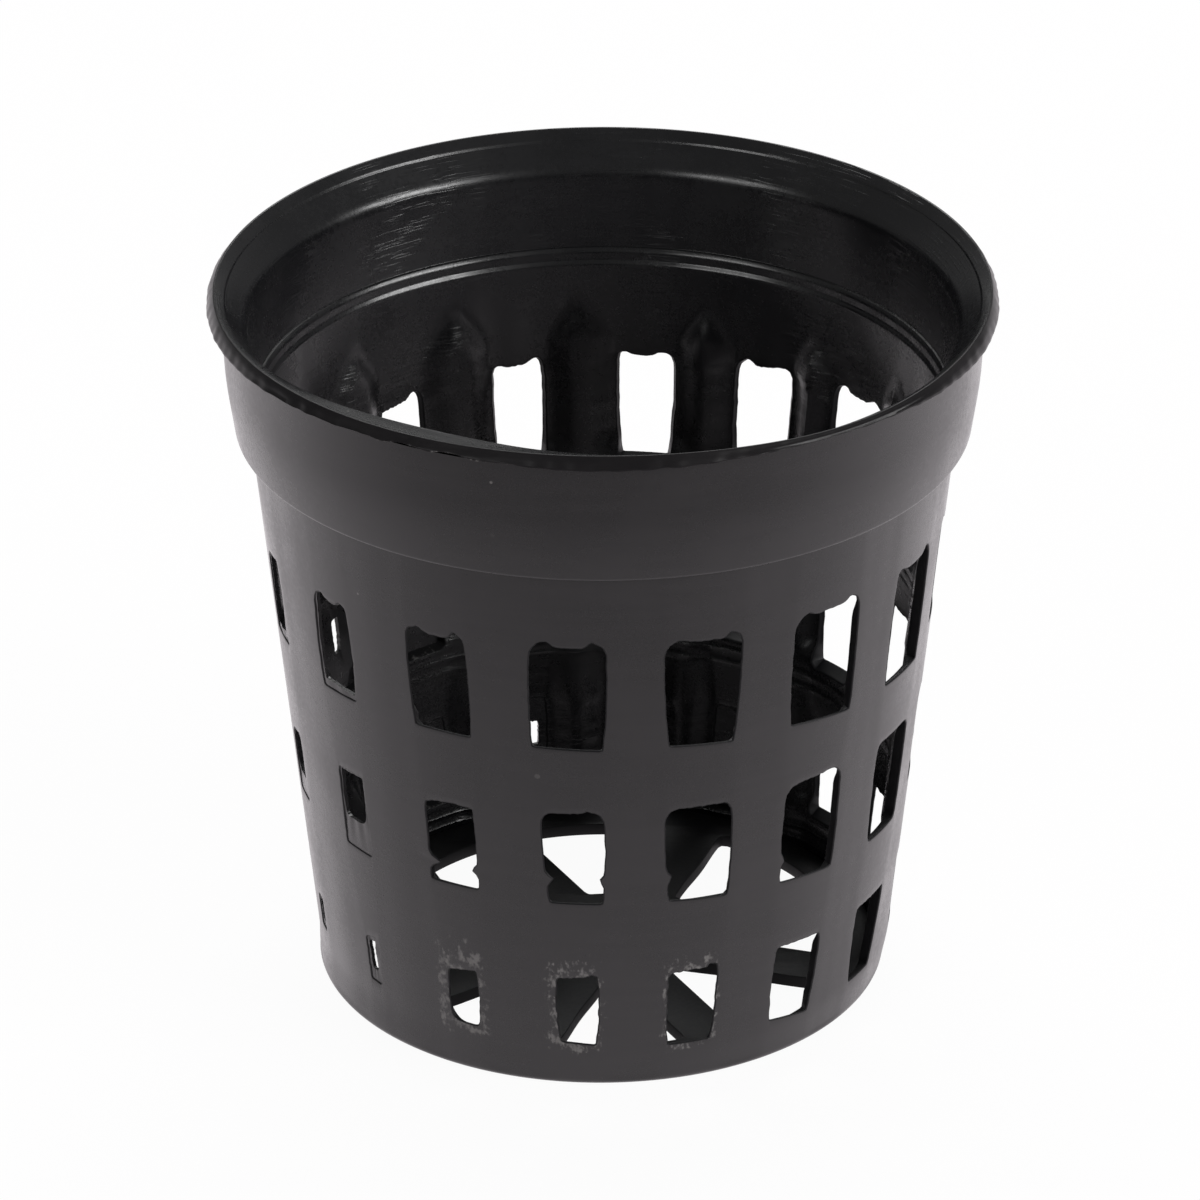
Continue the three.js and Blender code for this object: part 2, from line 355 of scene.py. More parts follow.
# Windows that show in front and through the mouth, by row and column; column 0 faces -Y.
SEEN_WINDOWS: dict[tuple[Row, int], WindowShape] = {
    (Row.UPPER, 0): WindowShape(left=(0.09, 0.3), head=(0.15, 0.15), sill=(0.0, -0.1), ears=(0.42, 0.45),
                                insets=(1.0, 0.85), rounds=(1.0, 0.7)),
    (Row.UPPER, 1): WindowShape(left=(0.25, 0.0), right=(0.08, 0.05), head=(0.4, 0.2), sill=(0.0, -0.25),
                                ears=(0.2, 0.42), insets=(1.0, 0.65), rounds=(1.3, 0.45), sag=0.12),
    (Row.UPPER, 2): WindowShape(right=(0.5, 0.85), head=(0.2, 0.25), sill=(-0.25, -0.75), ears=(0.3, 0.35),
                                rounds=(1.0, 0.7), sag=0.0),
    (Row.UPPER, 3): WindowShape(left=(-0.75, -0.5), right=(0.8, 1.2), sill=(-0.75, -0.95), ears=(0.2, 0.35),
                                insets=(0.5, 0.75), rounds=(0.5, 0.7), sag=0.2),
    (Row.UPPER, 15): WindowShape(left=(-0.12, -0.06), right=(-0.5, -0.17), head=(-0.2, -0.2),
                                 ears=(0.3, 0.45), insets=(0.9, 0.6), rounds=(0.6, 0.5), sag=0.2),
    (Row.UPPER, 6): WindowShape(right=(-0.2, -0.2), head=(0.0, 0.15)),
    (Row.UPPER, 7): WindowShape(left=(0.2, 0.15), right=(-0.92, -0.87), head=(0.1, -0.3), ears=(0.1, 0.4),
                                insets=(0.85, 0.7), rounds=(0.8, 0.5)),
    (Row.UPPER, 8): WindowShape(left=(0.26, 0.16), right=(-1.28, -1.28), head=(-0.45, -0.5),
                                ears=(0.25, 0.2), insets=(0.85, 0.3), rounds=(0.8, 0.25)),
    (Row.UPPER, 9): WindowShape(left=(-0.14, -0.04), right=(-1.3, -1.2), head=(-0.85, -1.05),
                                ears=(0.3, 0.15), insets=(0.4, 0.3), rounds=(0.35, 0.25)),
    (Row.UPPER, 10): WindowShape(left=(-0.5, -0.4), right=(-1.1, -1.0), head=(-1.6, -2.1), ears=(0.3, 0.0),
                                 insets=(0.3, 0.75), rounds=(0.3, 0.3)),
    (Row.MIDDLE, 5): WindowShape(left=(-0.1, 0.0), right=(0.1, 0.2), head=(0.8, 0.6), ears=(0.1, 0.1)),
    (Row.MIDDLE, 6): WindowShape(left=(0.35, 0.3), right=(-0.4, -0.4), ears=(0.1, 0.1)),
    (Row.LOWER, 6): square(left=(0.45, 0.4), right=(-1.15, -1.0), sill=(0.55, 0.5)),
    (Row.MIDDLE, 0): WindowShape(left=(0.0, -0.22), right=(0.18, 0.3), head=(0.1, 0.2), ears=(0.0, 0.16),
                                 insets=(0.85, 1.0), rounds=(0.8, 0.8), nubs=(0.5, 0.32), sag=-0.05),
    (Row.MIDDLE, 1): square(left=(0.25, 0.05), right=(0.3, 0.55), head=(0.3, 0.3), sill=(0.0, -0.2),
                            rounds=(1.0, 0.8), feet=(0.12, 0.25), nubs=(0.38, 0.0)),
    (Row.MIDDLE, 2): WindowShape(left=(0.0, 0.15), right=(0.7, 0.95), head=(0.2, 0.35), sill=(-0.4, -0.7),
                                 ears=(0.0, 0.1), rounds=(1.1, 1.0), feet=(0.12, 0.3), nubs=(0.32, 0.0),
                                 sag=0.0, nub_lift=1.3),
    (Row.MIDDLE, 3): square(left=(-0.45, -0.35), right=(1.2, 1.3), head=(-0.05, -0.1), sill=(-0.8, -0.9),
                            rounds=(0.6, 0.9), feet=(0.4, 0.4)),
    (Row.MIDDLE, 15): WindowShape(left=(-0.12, 0.03), right=(-0.18, 0.1), head=(-0.62, -0.4),
                                  sill=(0.15, 0.2), ears=(0.0, 0.0), rounds=(0.2, 0.25), nubs=(0.85, 0.42),
                                  sag=-0.2, bulge=0.0, nub_lift=1.6),
    (Row.LOWER, 0): WindowShape(left=(-0.35, -0.38), right=(0.1, 0.15), head=(-0.2, 0.0), sill=(0.2, 0.0),
                                ears=(0.0, 0.18), insets=(0.85, 0.3), rounds=(0.15, 0.25), sag=0.0,
                                rough=0.05),
    (Row.LOWER, 1): WindowShape(left=(0.02, 0.18), right=(0.3, 0.15), head=(0.05, 0.1), sill=(-0.22, -0.2),
                                ears=(0.0, 0.3), insets=(0.85, 0.35), rounds=(0.4, 0.3), sag=0.0,
                                rough=0.05),
    (Row.LOWER, 2): square(left=(0.1, 0.42), right=(0.7, 0.3), head=(0.2, 0.05), sill=(-0.1, -0.5),
                           rounds=(0.25, 0.35)),
    (Row.LOWER, 3): square(left=(0.1, 0.3), right=(0.9, 0.0), head=(0.0, 0.0), sill=(-0.3, -0.3),
                           rounds=(0.3, 0.4)),
    (Row.LOWER, 15): square(left=(-0.56, -0.45), right=(-0.33, -0.2), head=(-0.92, -0.6), sill=(0.5, 0.42),
                            rounds=(0.12, 0.15), feet=(0.8, 0.35)),
}

# Far windows that flash has closed but for a hole.
SHUT_PLACES = [(Row.LOWER, 7), (Row.LOWER, 9)]
SHUT_PLACES += [(row, column) for row in (Row.LOWER, Row.MIDDLE) for column in (10, 11, 12)]

# Outlines that stay as a shallow step round the windows that flash has partly closed.
FLASHED_FRAMES: dict[tuple[Row, int], WindowShape] = {
    (Row.UPPER, 14): WindowShape(left=(-0.34, 0.02), right=(-1.1, -0.82), head=(-0.7, -0.75),
                                 sill=(-0.3, -0.2), ears=(0.3, 0.3), insets=(0.6, 0.4), sag=0.2, bulge=0.2),
    (Row.MIDDLE, 14): square(left=(-0.35, -0.1), right=(-0.88, -0.6), head=(-1.05, -0.9), sill=(-0.1, -0.2),
                             rounds=(0.2, 0.15), bulge=0.0),
    (Row.LOWER, 14): square(left=(-0.8, -0.75), right=(-0.75, -0.8), head=(-1.2, -1.0), sill=(0.9, 0.8),
                            rounds=(0.3, 0.3), bulge=0.0),
    (Row.UPPER, 13): WindowShape(left=(-0.6, -0.1), right=(-1.5, -1.2), head=(-1.7, -1.4), ears=(0.0, 0.0)),
    (Row.MIDDLE, 13): square(left=(-0.1, 0.1), right=(-1.5, -1.2), head=(-2.2, -1.7)),
    (Row.LOWER, 13): square(left=(-0.7, -0.6), right=(-1.1, -1.0), head=(-1.9, -1.8), sill=(1.2, 1.1),
                            rounds=(0.2, 0.2), bulge=0.0),
    **{place: square(rounds=(0.3, 0.3)) for place in SHUT_PLACES},
}

# Openings that are left in the flash of those windows.
FLASHED_OPENINGS: dict[tuple[Row, int], WindowShape] = {
    (Row.UPPER, 14): WindowShape(left=(-0.48, -0.15), right=(-1.25, -0.95), head=(-0.8, -0.85),
                                 sill=(0.22, 0.12), ears=(0.3, 0.3), insets=(0.6, 0.35), rounds=(0.3, 0.3),
                                 sag=0.2, bulge=0.2),
    (Row.MIDDLE, 14): square(left=(-0.45, -0.3), right=(-1.0, -0.9), head=(-1.15, -1.0), sill=(2.0, 2.0),
                             rounds=(0.15, 0.1), feet=(0.5, 0.9), bulge=0.0),
    (Row.LOWER, 14): square(left=(-0.95, -1.0), right=(-1.2, -1.1), head=(-1.5, -1.35), sill=(1.7, 1.7),
                            rounds=(0.15, 0.1), bulge=0.0),
    (Row.UPPER, 13): square(left=(-0.8, -0.2), right=(-2.0, -1.8), head=(-1.9, -1.6), sill=(0.3, 0.6),
                            rounds=(0.2, 0.2)),
    (Row.MIDDLE, 13): square(left=(-0.2, 0.0), right=(-1.9, -1.7), head=(-2.4, -1.9), sill=(1.5, 1.4),
                             rounds=(0.2, 0.2)),
    (Row.LOWER, 13): square(left=(-0.9, -0.8), right=(-1.35, -1.25), head=(-2.2, -2.1), sill=(1.6, 1.5),
                            rounds=(0.05, 0.05), feet=(0.05, 0.05), bulge=0.0),
    (Row.LOWER, 7): square(left=(-0.2, -0.2), right=(-1.6, -1.5), head=(-0.6, -0.5), sill=(0.6, 0.5),
                           rounds=(0.2, 0.2), bulge=0.0),
    (Row.LOWER, 9): square(left=(-0.3, -0.3), right=(-0.6, -0.6), head=(-1.6, -1.5), sill=(2.1, 2.0),
                           rounds=(0.25, 0.25), bulge=0.0),
    (Row.LOWER, 10): square(left=(-1.1, -1.1), right=(-1.1, -1.0), head=(-3.2, -3.2), sill=(0.7, 0.7),
                            rounds=(0.1, 0.1), feet=(0.1, 0.1), bulge=0.0),
    (Row.LOWER, 11): square(left=(-0.2, -0.2), right=(-2.35, -2.3), head=(-3.6, -3.6), sill=(0.6, 0.6),
                            rounds=(0.05, 0.05), feet=(0.05, 0.05), bulge=0.0),
    (Row.LOWER, 12): square(left=(-1.0, -1.0), right=(-1.2, -1.1), head=(-2.2, -2.3), sill=(1.4, 1.4),
                            rounds=(0.1, 0.1), feet=(0.1, 0.1), bulge=0.0),
    (Row.MIDDLE, 10): square(left=(-1.3, -1.4), right=(-1.4, -1.5), head=(-1.8, -1.9), sill=(3.2, 3.2),
                             rounds=(0.1, 0.1), feet=(0.1, 0.1), bulge=0.0),
    (Row.MIDDLE, 11): square(left=(-1.4, -1.35), right=(-1.5, -1.45), head=(-1.6, -1.6), sill=(2.7, 2.7),
                             rounds=(0.15, 0.15), feet=(0.15, 0.15), bulge=0.0),
    (Row.MIDDLE, 12): square(left=(-0.9, -1.0), right=(-1.5, -1.5), head=(-1.4, -1.6), sill=(2.0, 2.2),
                             rounds=(0.2, 0.1), bulge=0.0),
}


@dataclass(frozen=True)
class MouldHabits:
    """How far the windows of the sides and back stray from the drawn ones: least and most, in millimetres."""

    upper_ears: Ends = (0.2, 0.5)
    other_ears: Ends = (0.0, 0.15)
    sides: Ends = (-0.15, 0.2)
    heads: Ends = (-0.2, 0.2)
    sill_share: float = 0.5
    middle_nubs: Ends = (0.0, 0.4)
    rounds: Ends = (0.35, 1.0)

    def window(self, row: Row, column: int) -> WindowShape:
        """A window with the flash and ears that this mould leaves.

        Args:
            row: which row of windows it is in.
            column: its column, which with the row seeds its unevenness.

        Returns:
            The window's outline.
        """
        draw = np.random.default_rng(100 * row.value + column)
        ears = draw.uniform(*(self.upper_ears if row is Row.UPPER else self.other_ears), 2)
        sides = draw.uniform(*self.sides, 4)
        levels = draw.uniform(*self.heads, 4)
        nubs = draw.uniform(*self.middle_nubs, 2) if row is Row.MIDDLE else np.zeros(2)
        rounds = draw.uniform(*self.rounds, 2)
        return WindowShape(
            left=tuple(sides[:2]), right=tuple(sides[2:]),
            head=tuple(levels[:2]), sill=tuple(self.sill_share * levels[2:]),
            ears=tuple(ears), rounds=tuple(rounds), nubs=tuple(nubs))


def window_shape(row: Row, column: int) -> WindowShape:
    """The outline that a window has in the wall itself."""
    place = (row, column)
    return FLASHED_FRAMES.get(place) or SEEN_WINDOWS.get(place) or MouldHabits().window(row, column)


def window_seed(row: Row, column: int) -> int:
    """Seed of the unevenness of one window's edge."""
    return 31 * column + row.value


class Shell:
    """Points and faces of one closed mesh while it is made, in millimetres."""

    def __init__(self) -> None:
        """Starts with nothing."""
        self.points: list[np.ndarray] = []
        self.frost_and_highlight: list[np.ndarray] = []
        self.faces: list[np.ndarray] = []
        self.skins: list[np.ndarray] = []
        self.count = 0

    def add(self, radius: np.ndarray, turn: np.ndarray, height: np.ndarray,
            frost_and_highlight: np.ndarray | None = None) -> np.ndarray:
        """Adds points given round the basket's axis.

        Args:
            radius: distance from the axis.
            turn: angle from -Y towards +X.
            height: height over the underside.
            frost_and_highlight: how frosted the plastic is there, 0 to 1; on some window edges the frosting
                is a painted highlight.

        Returns:
            The points' numbers, in the shape of height; -1 where height isn't a number.
        """
        radius, turn, height = np.broadcast_arrays(radius, turn, height)
        used = ~np.isnan(height)
        number = np.full(height.shape, -1)
        number[used] = self.count + np.arange(used.sum())
        self.count += int(used.sum())
        place = np.stack([radius * np.sin(turn), -radius * np.cos(turn), height], axis=-1)
        self.points.append(place[used])
        self.frost_and_highlight.append(np.zeros(used.sum()) if frost_and_highlight is None else frost_and_highlight[used])
        return number

    def quads(self, corners: list[np.ndarray], skin: Skin) -> None:
        """Adds one face for each set of four corners, leaving out those with a missing corner.

        Args:
            corners: numbers of the first, second, third and fourth corners.
            skin: the part of the mould that formed the faces.
        """
        four = np.stack([corner.ravel() for corner in corners], axis=1)
        four = four[(four >= 0).all(axis=1)]
        self.faces.append(four)
        self.skins.append(np.full(len(four), skin.value))

    def band(self, lower: np.ndarray, upper: np.ndarray, skin: Skin) -> None:
        """Joins two closed rows of points; the faces look outwards when the rows run anticlockwise."""
        self.quads([lower, np.roll(lower, -1, -1), np.roll(upper, -1, -1), upper], skin)

    def finish(self, name: str, finishes: list[bpy.types.Material],
               crease: float = 38.0) -> bpy.types.Object:
        """Turns the shell into an object of the scene.

        Args:
            name: the piece's name.
            finishes: materials, in the order of Skin.
            crease: angle in degrees over which an edge stays sharp.

        Returns:
            The new object.
        """
        mesh = bpy.data.meshes.new(name)
        mesh.from_pydata(np.concatenate(self.points) * MM, [], np.concatenate(self.faces).tolist())
        for material in finishes:
            mesh.materials.append(material)
        mesh.polygons.foreach_set("material_index", np.concatenate(self.skins).astype(np.int32))
        # This attribute holds real frosting and, on some window edges, a painted highlight.
        wear_and_painted_highlight = mesh.attributes.new("frost_and_highlight", "FLOAT", "POINT")
        wear_and_painted_highlight.data.foreach_set("value", np.concatenate(self.frost_and_highlight).astype(np.float32))
        mesh.validate()
        mesh.shade_smooth()
        mesh.set_sharp_from_angle(angle=math.radians(crease))
        piece = bpy.data.objects.new(name, mesh)
        bpy.context.scene.collection.objects.link(piece)
        return piece


def mount(piece: bpy.types.Object, nodes: list[str]) -> bpy.types.Object:
    """Ties a piece to the basket's body and the CAD nodes that it stands for.

    Args:
        piece: the finished piece.
        nodes: the nodes that it replaces.

    Returns:
        The same piece.
    """
    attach(piece, BODY)
    if nodes:
        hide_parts(*nodes)
    log.info("%s: %d faces, stands for %d nodes", piece.name, len(piece.data.polygons), len(nodes))
    return piece


def rounded_profile(corners: list[tuple[float, float, float]]) -> np.ndarray:
    """A closed profile with rounded corners.

    Args:
        corners: radius, height and rounding of each corner, in order.

    Returns:
        Points (radius, height).
    """
    place = np.array([corner[:2] for corner in corners])
    arc = np.linspace(0.0, 1.0, PROFILE_ARC)[:, None]
    points = []
    for i, corner in enumerate(corners):
        here, cut = place[i], corner[2]
        if cut <= 0.0:
            points.append(here[None])
            continue
        before, after = place[i - 1] - here, place[(i + 1) % len(place)] - here
        start = here + before / np.linalg.norm(before) * cut
        end = here + after / np.linalg.norm(after) * cut
        points.append((1 - arc) ** 2 * start + 2 * arc * (1 - arc) * here + arc**2 * end)
    return np.concatenate(points)


@dataclass(frozen=True)
class Scuff:
    """A scuffed patch of the wall: angle and half-width in degrees, height and half-height in millimetres."""

    angle: float
    height: float
    half_width: float
    half_height: float
    strength: float


@dataclass
class LatticeWall:
    """The slotted wall: uprights with inner ribs, wedge bars, the base band with its foot, the top band."""

    across: int = 24
    between: int = 16
    along: int = 18
    base_steps: tuple[float, ...] = (0.0, 0.12, 0.2, 0.27, 0.34, 0.45, 0.53, 0.6, 0.67, 0.83, 1.0)
    bar_steps: tuple[float, ...] = (
        0.0, 0.09, 0.18, 0.27, 0.36, 0.45, 0.54, 0.61, 0.645, 0.68, 0.715, 0.77, 0.83, 0.865, 0.9, 0.95, 1.0)
    band_rows: int = 10
    bead: float = 0.07
    base_beads: tuple[int, ...] = (3, 7)
    bar_beads: tuple[int, ...] = (9, 13)
    edge: float = 0.1
    inner_edge: float = 0.13
    sill_splay: float = 0.45
    side_splay: float = 0.12
    foot_inner: float = 17.6
    foot_seat: float = 0.45
    shoulder_drop: float = 3.4
    band_lifts: tuple[float, ...] = (-3.0, -2.6, -2.2, -1.8, -1.4, -1.0, -0.6, -0.2, 0.3)
    levelled: tuple[float, float] = (0.3, 0.08)
    band_top: float = 0.44
    band_tuck: tuple[float, float] = (0.2, 0.03)
    band_lap: float = 0.3
    sink: float = 0.03
    sink_edge: float = 1.5
    sink_waves: Unevenness = Unevenness(0.025, 17, (9, 30))
    sill_growth: float = 4.0
    tip_narrowing: float = 2.4
    edge_bends: tuple[float, ...] = (30.0, 60.0, 90.0)
    foot_steps: int = 6
    askew: tuple[float, float] = (0.2, 3.0)
    deep_right: tuple[int, ...] = (2, 3)
    # Columns whose inner sill and head edges are frosted pale as a painted highlight, and its strength.
    frosted_and_highlit: tuple[int, ...] = (10, 11, 12)
    painted_edge_highlight: float = 0.9
    halo: tuple[int, ...] = (0, 1, 15)
    halo_fade: tuple[float, float, float] = (0.7, 1.9, 0.7)
    scuffs: tuple[Scuff, ...] = (
        Scuff(-65.0, 7.0, 3.2, 3.4, 0.6), Scuff(0.0, 2.85, 3.6, 0.4, 1.4), Scuff(22.3, 2.7, 3.6, 0.4, 1.3),
        Scuff(-20.5, 3.2, 2.4, 0.6, 1.3), Scuff(-63.5, 18.0, 1.2, 2.6, 0.5), Scuff(52.0, 12.0, 1.2, 1.6, 0.5))
    loops: dict[tuple[Row, int], np.ndarray] = field(default_factory=dict)

    def build(self, finishes: list[bpy.types.Material]) -> bpy.types.Object:
        """Makes the wall as one closed mesh.

        Args:
            finishes: materials, in the order of Skin.

        Returns:
            The wall's object.
        """
        for row in Row:
            for column in range(COLUMNS):
                shape, seed = window_shape(row, column), window_seed(row, column)
                self.loops[row, column] = shape.loop(row, self.across, self.along, seed)
        shell = Shell()
        outer, _ = self.layer(shell, Skin.CAVITY)
        inner, thickness = self.layer(shell, Skin.CORE)
        for lower, upper in zip(outer[:-1], outer[1:]):
            shell.band(lower, upper, Skin.CAVITY)
        for lower, upper in zip(inner[:-1], inner[1:]):
            shell.band(upper, lower, Skin.CORE)
        shell.band(outer[-1], inner[-1], Skin.CORE)
        shell.band(inner[0], outer[0], Skin.CORE)
        outer_start = len(self.foot_rows(Skin.CAVITY))
        inner_start = len(self.foot_rows(Skin.CORE))
        for row in Row:
            for column in range(COLUMNS):
                outer_rim = self.rim(outer, outer_start, row, column)
                inner_rim = self.rim(inner, inner_start, row, column)
                depth = self.rim(thickness, 0, row, column)
                self.tunnel(shell, row, column, outer_rim, inner_rim, depth)
        return shell.finish("lattice_wall", finishes)

    def splay(self, normal: np.ndarray) -> np.ndarray:
        """How much wider a window is inside the wall than outside, for each normal of its outline."""
        sideways, down = np.abs(normal[:, 0]), np.clip(-normal[:, 1], 0.0, 1.0)
        return self.side_splay * sideways + self.sill_splay * down

    def clear(self, loop: np.ndarray, skin: Skin) -> np.ndarray:
        """The outline that the wall's points keep round a window.

        Args:
            loop: the window's own outline.
            skin: the side of the wall.

        Returns:
            The wider outline.
        """
        normal = outward(loop)
        if skin is Skin.CAVITY:
            return loop + self.edge * normal
        return loop + (self.inner_edge + self.splay(normal))[:, None] * normal

    def lines(self, skin: Skin) -> list[np.ndarray]:
        """Rows of window-column points from the foot to the collar.

        Args:
            skin: the side of the wall, which sets how far the rows stay clear of the windows.

        Returns:
            Rows of (column, point, 2); inside a window only the two sides are numbers.
        """
        across, along = self.across, self.along
        moved = {place: self.clear(loop, skin) for place, loop in self.loops.items()}

        def gather(row: Row, cut: Callable[[np.ndarray], np.ndarray]) -> np.ndarray:
            """One part of every outline in a row of windows."""
            return np.stack([cut(moved[row, column]) for column in range(COLUMNS)])

        def spread_rows(start: np.ndarray, end: np.ndarray, steps: tuple[float, ...]) -> list[np.ndarray]:
            """Rows between two lines, both included, the middle ones level in each column.

            Args:
                start: the first line.
                end: the last line.
                steps: shares of the way at which the rows lie.

            Returns:
                The rows.
            """
            made = []
            for share in steps:
                line = start + (end - start) * share
                flat = min(1.0, share / self.levelled[0], (1.0 - share) / self.levelled[1])
                line[..., 1] += flat * (line[..., 1].mean(axis=1, keepdims=True) - line[..., 1])
                made.append(line)
            return made

        def level(line: np.ndarray, z: float) -> np.ndarray:
            """The same line brought to one height."""
            return np.stack([line[..., 0], np.full(line.shape[:-1], z)], axis=-1)

        sill = {row: gather(row, lambda loop: loop[:across + 1]) for row in Row}
        right = {row: gather(row, lambda loop: loop[across:across + along + 1]) for row in Row}
        head = {row: gather(row, lambda loop: loop[across + along:2 * across + along + 1][::-1])
                for row in Row}
        left = {row: gather(row, lambda loop: np.concatenate([loop[2 * across + along:], loop[:1]])[::-1])
                for row in Row}
        rows = spread_rows(level(sill[Row.LOWER], SIZES.foot_round), sill[Row.LOWER], self.base_steps)
        above = {Row.LOWER: Row.MIDDLE, Row.MIDDLE: Row.UPPER}
        for row in Row:
            for j in range(1, along):
                open_row = np.full((COLUMNS, across + 1, 2), np.nan)
                open_row[:, 0], open_row[:, -1] = left[row][:, j], right[row][:, j]
                rows.append(open_row)
            if row in above:
                rows += spread_rows(head[row], sill[above[row]], self.bar_steps)
        shoulder = level(head[Row.UPPER], SIZES.rib_head - self.shoulder_drop)
        rows += spread_rows(head[Row.UPPER], shoulder, tuple(np.linspace(0.0, 1.0, self.band_rows + 1)))
        for lift in (*self.band_lifts, SIZES.rib_drop):
            rows.append(level(shoulder, SIZES.rib_head + lift))
        return rows

    def first_row(self, row: Row) -> int:
        """Number of the row of points that lies on the sills of a row of windows."""
        return len(self.base_steps) - 1 + row.value * (self.along + len(self.bar_steps) - 1)

    def bead_rows(self) -> list[int]:
        """Numbers of the rows of points that stand up as fine beads inside, two under each row of windows."""
        heads = [self.first_row(row) + self.along for row in (Row.LOWER, Row.MIDDLE)]
        return [*self.base_beads, *(head + step for head in heads for step in self.bar_beads)]

    def foot_rows(self, skin: Skin) -> list[tuple[float, float]]:
        """Rows under the wall's own: the rounded foot outside, the seat in the floor inside.

        Args:
            skin: the side of the wall.

        Returns:
            Radius and height of each row.
        """
        if skin is Skin.CORE:
            return [(SIZES.base_radius - SIZES.side_wall, self.foot_seat)]
        lean = math.atan(SIZES.taper)
        centre = SIZES.wall_radius(SIZES.foot_round) - SIZES.foot_round / math.cos(lean)
        rows = [(self.foot_inner, self.foot_seat), (self.foot_inner, 0.0)]
        for number in range(self.foot_steps):
            swing = math.pi / 2 * number / self.foot_steps
            out, up = math.sin(swing), 1 - math.cos(swing)
            rows.append((centre + SIZES.foot_round * out, SIZES.foot_round * up))
        return rows

    def layer(self, shell: Shell, skin: Skin) -> tuple[np.ndarray, np.ndarray]:
        """Adds the points of the wall's outer or inner surface.

        Args:
            shell: the mesh being made.
            skin: which surface it is.

        Returns:
            The points' numbers and the wall's thickness at each, as rows round the basket.
        """
        inside = skin is Skin.CORE
        rows = np.stack(self.lines(skin))
        side, z = rows[..., 0], rows[..., 1]
        thick = self.column_thickness(z)
        depth = thick if inside else np.zeros_like(thick)
        turn = np.arange(COLUMNS)[None, :, None] * PITCH + np.arcsin(side / (SIZES.wall_radius(z) - depth))
        share = 0.5 * (1.0 - np.cos(math.pi * np.arange(1, self.between) / self.between))
        ahead = np.roll(turn[..., 0], -1, axis=1)
        ahead[:, -1] += 2.0 * math.pi
        start, start_z = turn[..., -1:], z[..., -1:]
        span = ahead[..., None] - start
        upright_turn = start + span * share
        upright_z = start_z + (np.roll(z[..., 0], -1, axis=1)[..., None] - start_z) * share
        width = span * SIZES.wall_radius(upright_z)
        away = np.minimum(share, 1.0 - share) * width
        first, second = thick[..., -1:], np.roll(thick[..., 0], -1, axis=1)[..., None]
        upright_thick = self.upright_thickness(upright_z, away, first + (second - first) * share)
        turn = np.concatenate([turn, upright_turn], axis=-1).reshape(len(rows), -1)
        z = np.concatenate([z, upright_z], axis=-1).reshape(len(rows), -1)
        thick = np.concatenate([thick, upright_thick], axis=-1).reshape(len(rows), -1)
        if inside:
            thick[self.bead_rows()] += self.bead
            radius = SIZES.wall_radius(z) - thick
        else:
            uneven = self.sink + self.sink_waves.along(upright_turn)
            hollow = np.concatenate([np.zeros_like(side), uneven * ease(away / self.sink_edge)], axis=-1)
            radius = SIZES.wall_radius(z) - hollow.reshape(z.shape) - self.set_over(turn, z)
        numbers = []
        for low_radius, low_z in self.foot_rows(skin):
            drop = thick[0] - SIZES.side_wall if inside else self.set_over(turn[0], low_z)
            numbers.append(shell.add(low_radius - drop, turn[0], np.full(z.shape[1], low_z)))
        numbers += list(shell.add(radius, turn, z, None if inside else self.frosting(turn, z)))
        if inside:
            top = SIZES.step + self.band_top
            reach = radius[-1] + SIZES.core_draft * self.band_top
            numbers.append(shell.add(reach, turn[-1], np.full(z.shape[1], top)))
            aside, over = self.band_tuck
            numbers.append(shell.add(reach + aside, turn[-1], np.full(z.shape[1], top + over)))
        else:
            numbers.append(shell.add(radius[-1], turn[-1], np.full(z.shape[1], SIZES.step + self.band_lap)))
        return np.stack(numbers), thick

    def set_over(self, turn: np.ndarray, z: np.ndarray) -> np.ndarray:
        """How much the foot falls short of a true round, as it sits a little to one side."""
        shift, height = self.askew
        return shift * np.sin(turn) * ease((height - np.nan_to_num(z, nan=height)) / height)

    def column_thickness(self, z: np.ndarray) -> np.ndarray:
        """Wall thickness in the window columns: wedges, and thin sides that grow into the sills.

        Args:
            z: heights of the rows' points.

        Returns:
            The thickness at each point.
        """
        thick = np.full(z.shape, SIZES.side_wall)
        for row in Row:
            bar = slice(self.first_row(row) + self.along, None)
            thick[bar] = SIZES.wedge(z[bar], SIZES.heads[row.value])
        for row in Row:
            low = self.first_row(row)
            rise = ease(np.arange(1, self.along) / self.sill_growth)[:, None, None]
            thick[low + 1:low + self.along] = thick[low] + (SIZES.window_edge - thick[low]) * rise
            deep = SIZES.side_wall - SIZES.window_edge
            fall = ease((self.along - np.arange(1, self.along)) / self.sill_growth)[:, None]
            thick[low + 1:low + self.along, list(self.deep_right), -1] = SIZES.window_edge + deep * fall
        return thick

    def upright_thickness(self, z: np.ndarray, away: np.ndarray, sides: np.ndarray) -> np.ndarray:
        """Wall thickness of the uprights.

        Args:
            z: heights.
            away: distance from the nearer window column.
            sides: thickness of the window columns beside them.

        Returns:
            The thickness: a soft rib that narrows to a tip, and the plain band over the tips.
        """
        narrowed = self.tip_narrowing * ease((z - SIZES.rib_head + SIZES.rib_tip) / SIZES.rib_tip)
        return sides + (SIZES.side_wall + SIZES.rib_rise - sides) * ease((away - narrowed) / SIZES.rib_flank)

    def rim(self, grid: np.ndarray, skipped: int, row: Row, column: int) -> np.ndarray:
        """Values of a grid round one window.

        Args:
            grid: rows of values round the basket.
            skipped: rows of the grid that lie under the wall's own.
            row: the window's row.
            column: the window's column.

        Returns:
            The values in the order of the window's outline.
        """
        low = skipped + self.first_row(row)
        high = low + self.along
        left = column * (self.across + self.between)
        right = left + self.across
        return np.concatenate([
            grid[low, left:right], grid[low:high, right], grid[high, left + 1:right + 1][::-1],
            grid[low + 1:high + 1, left][::-1]])

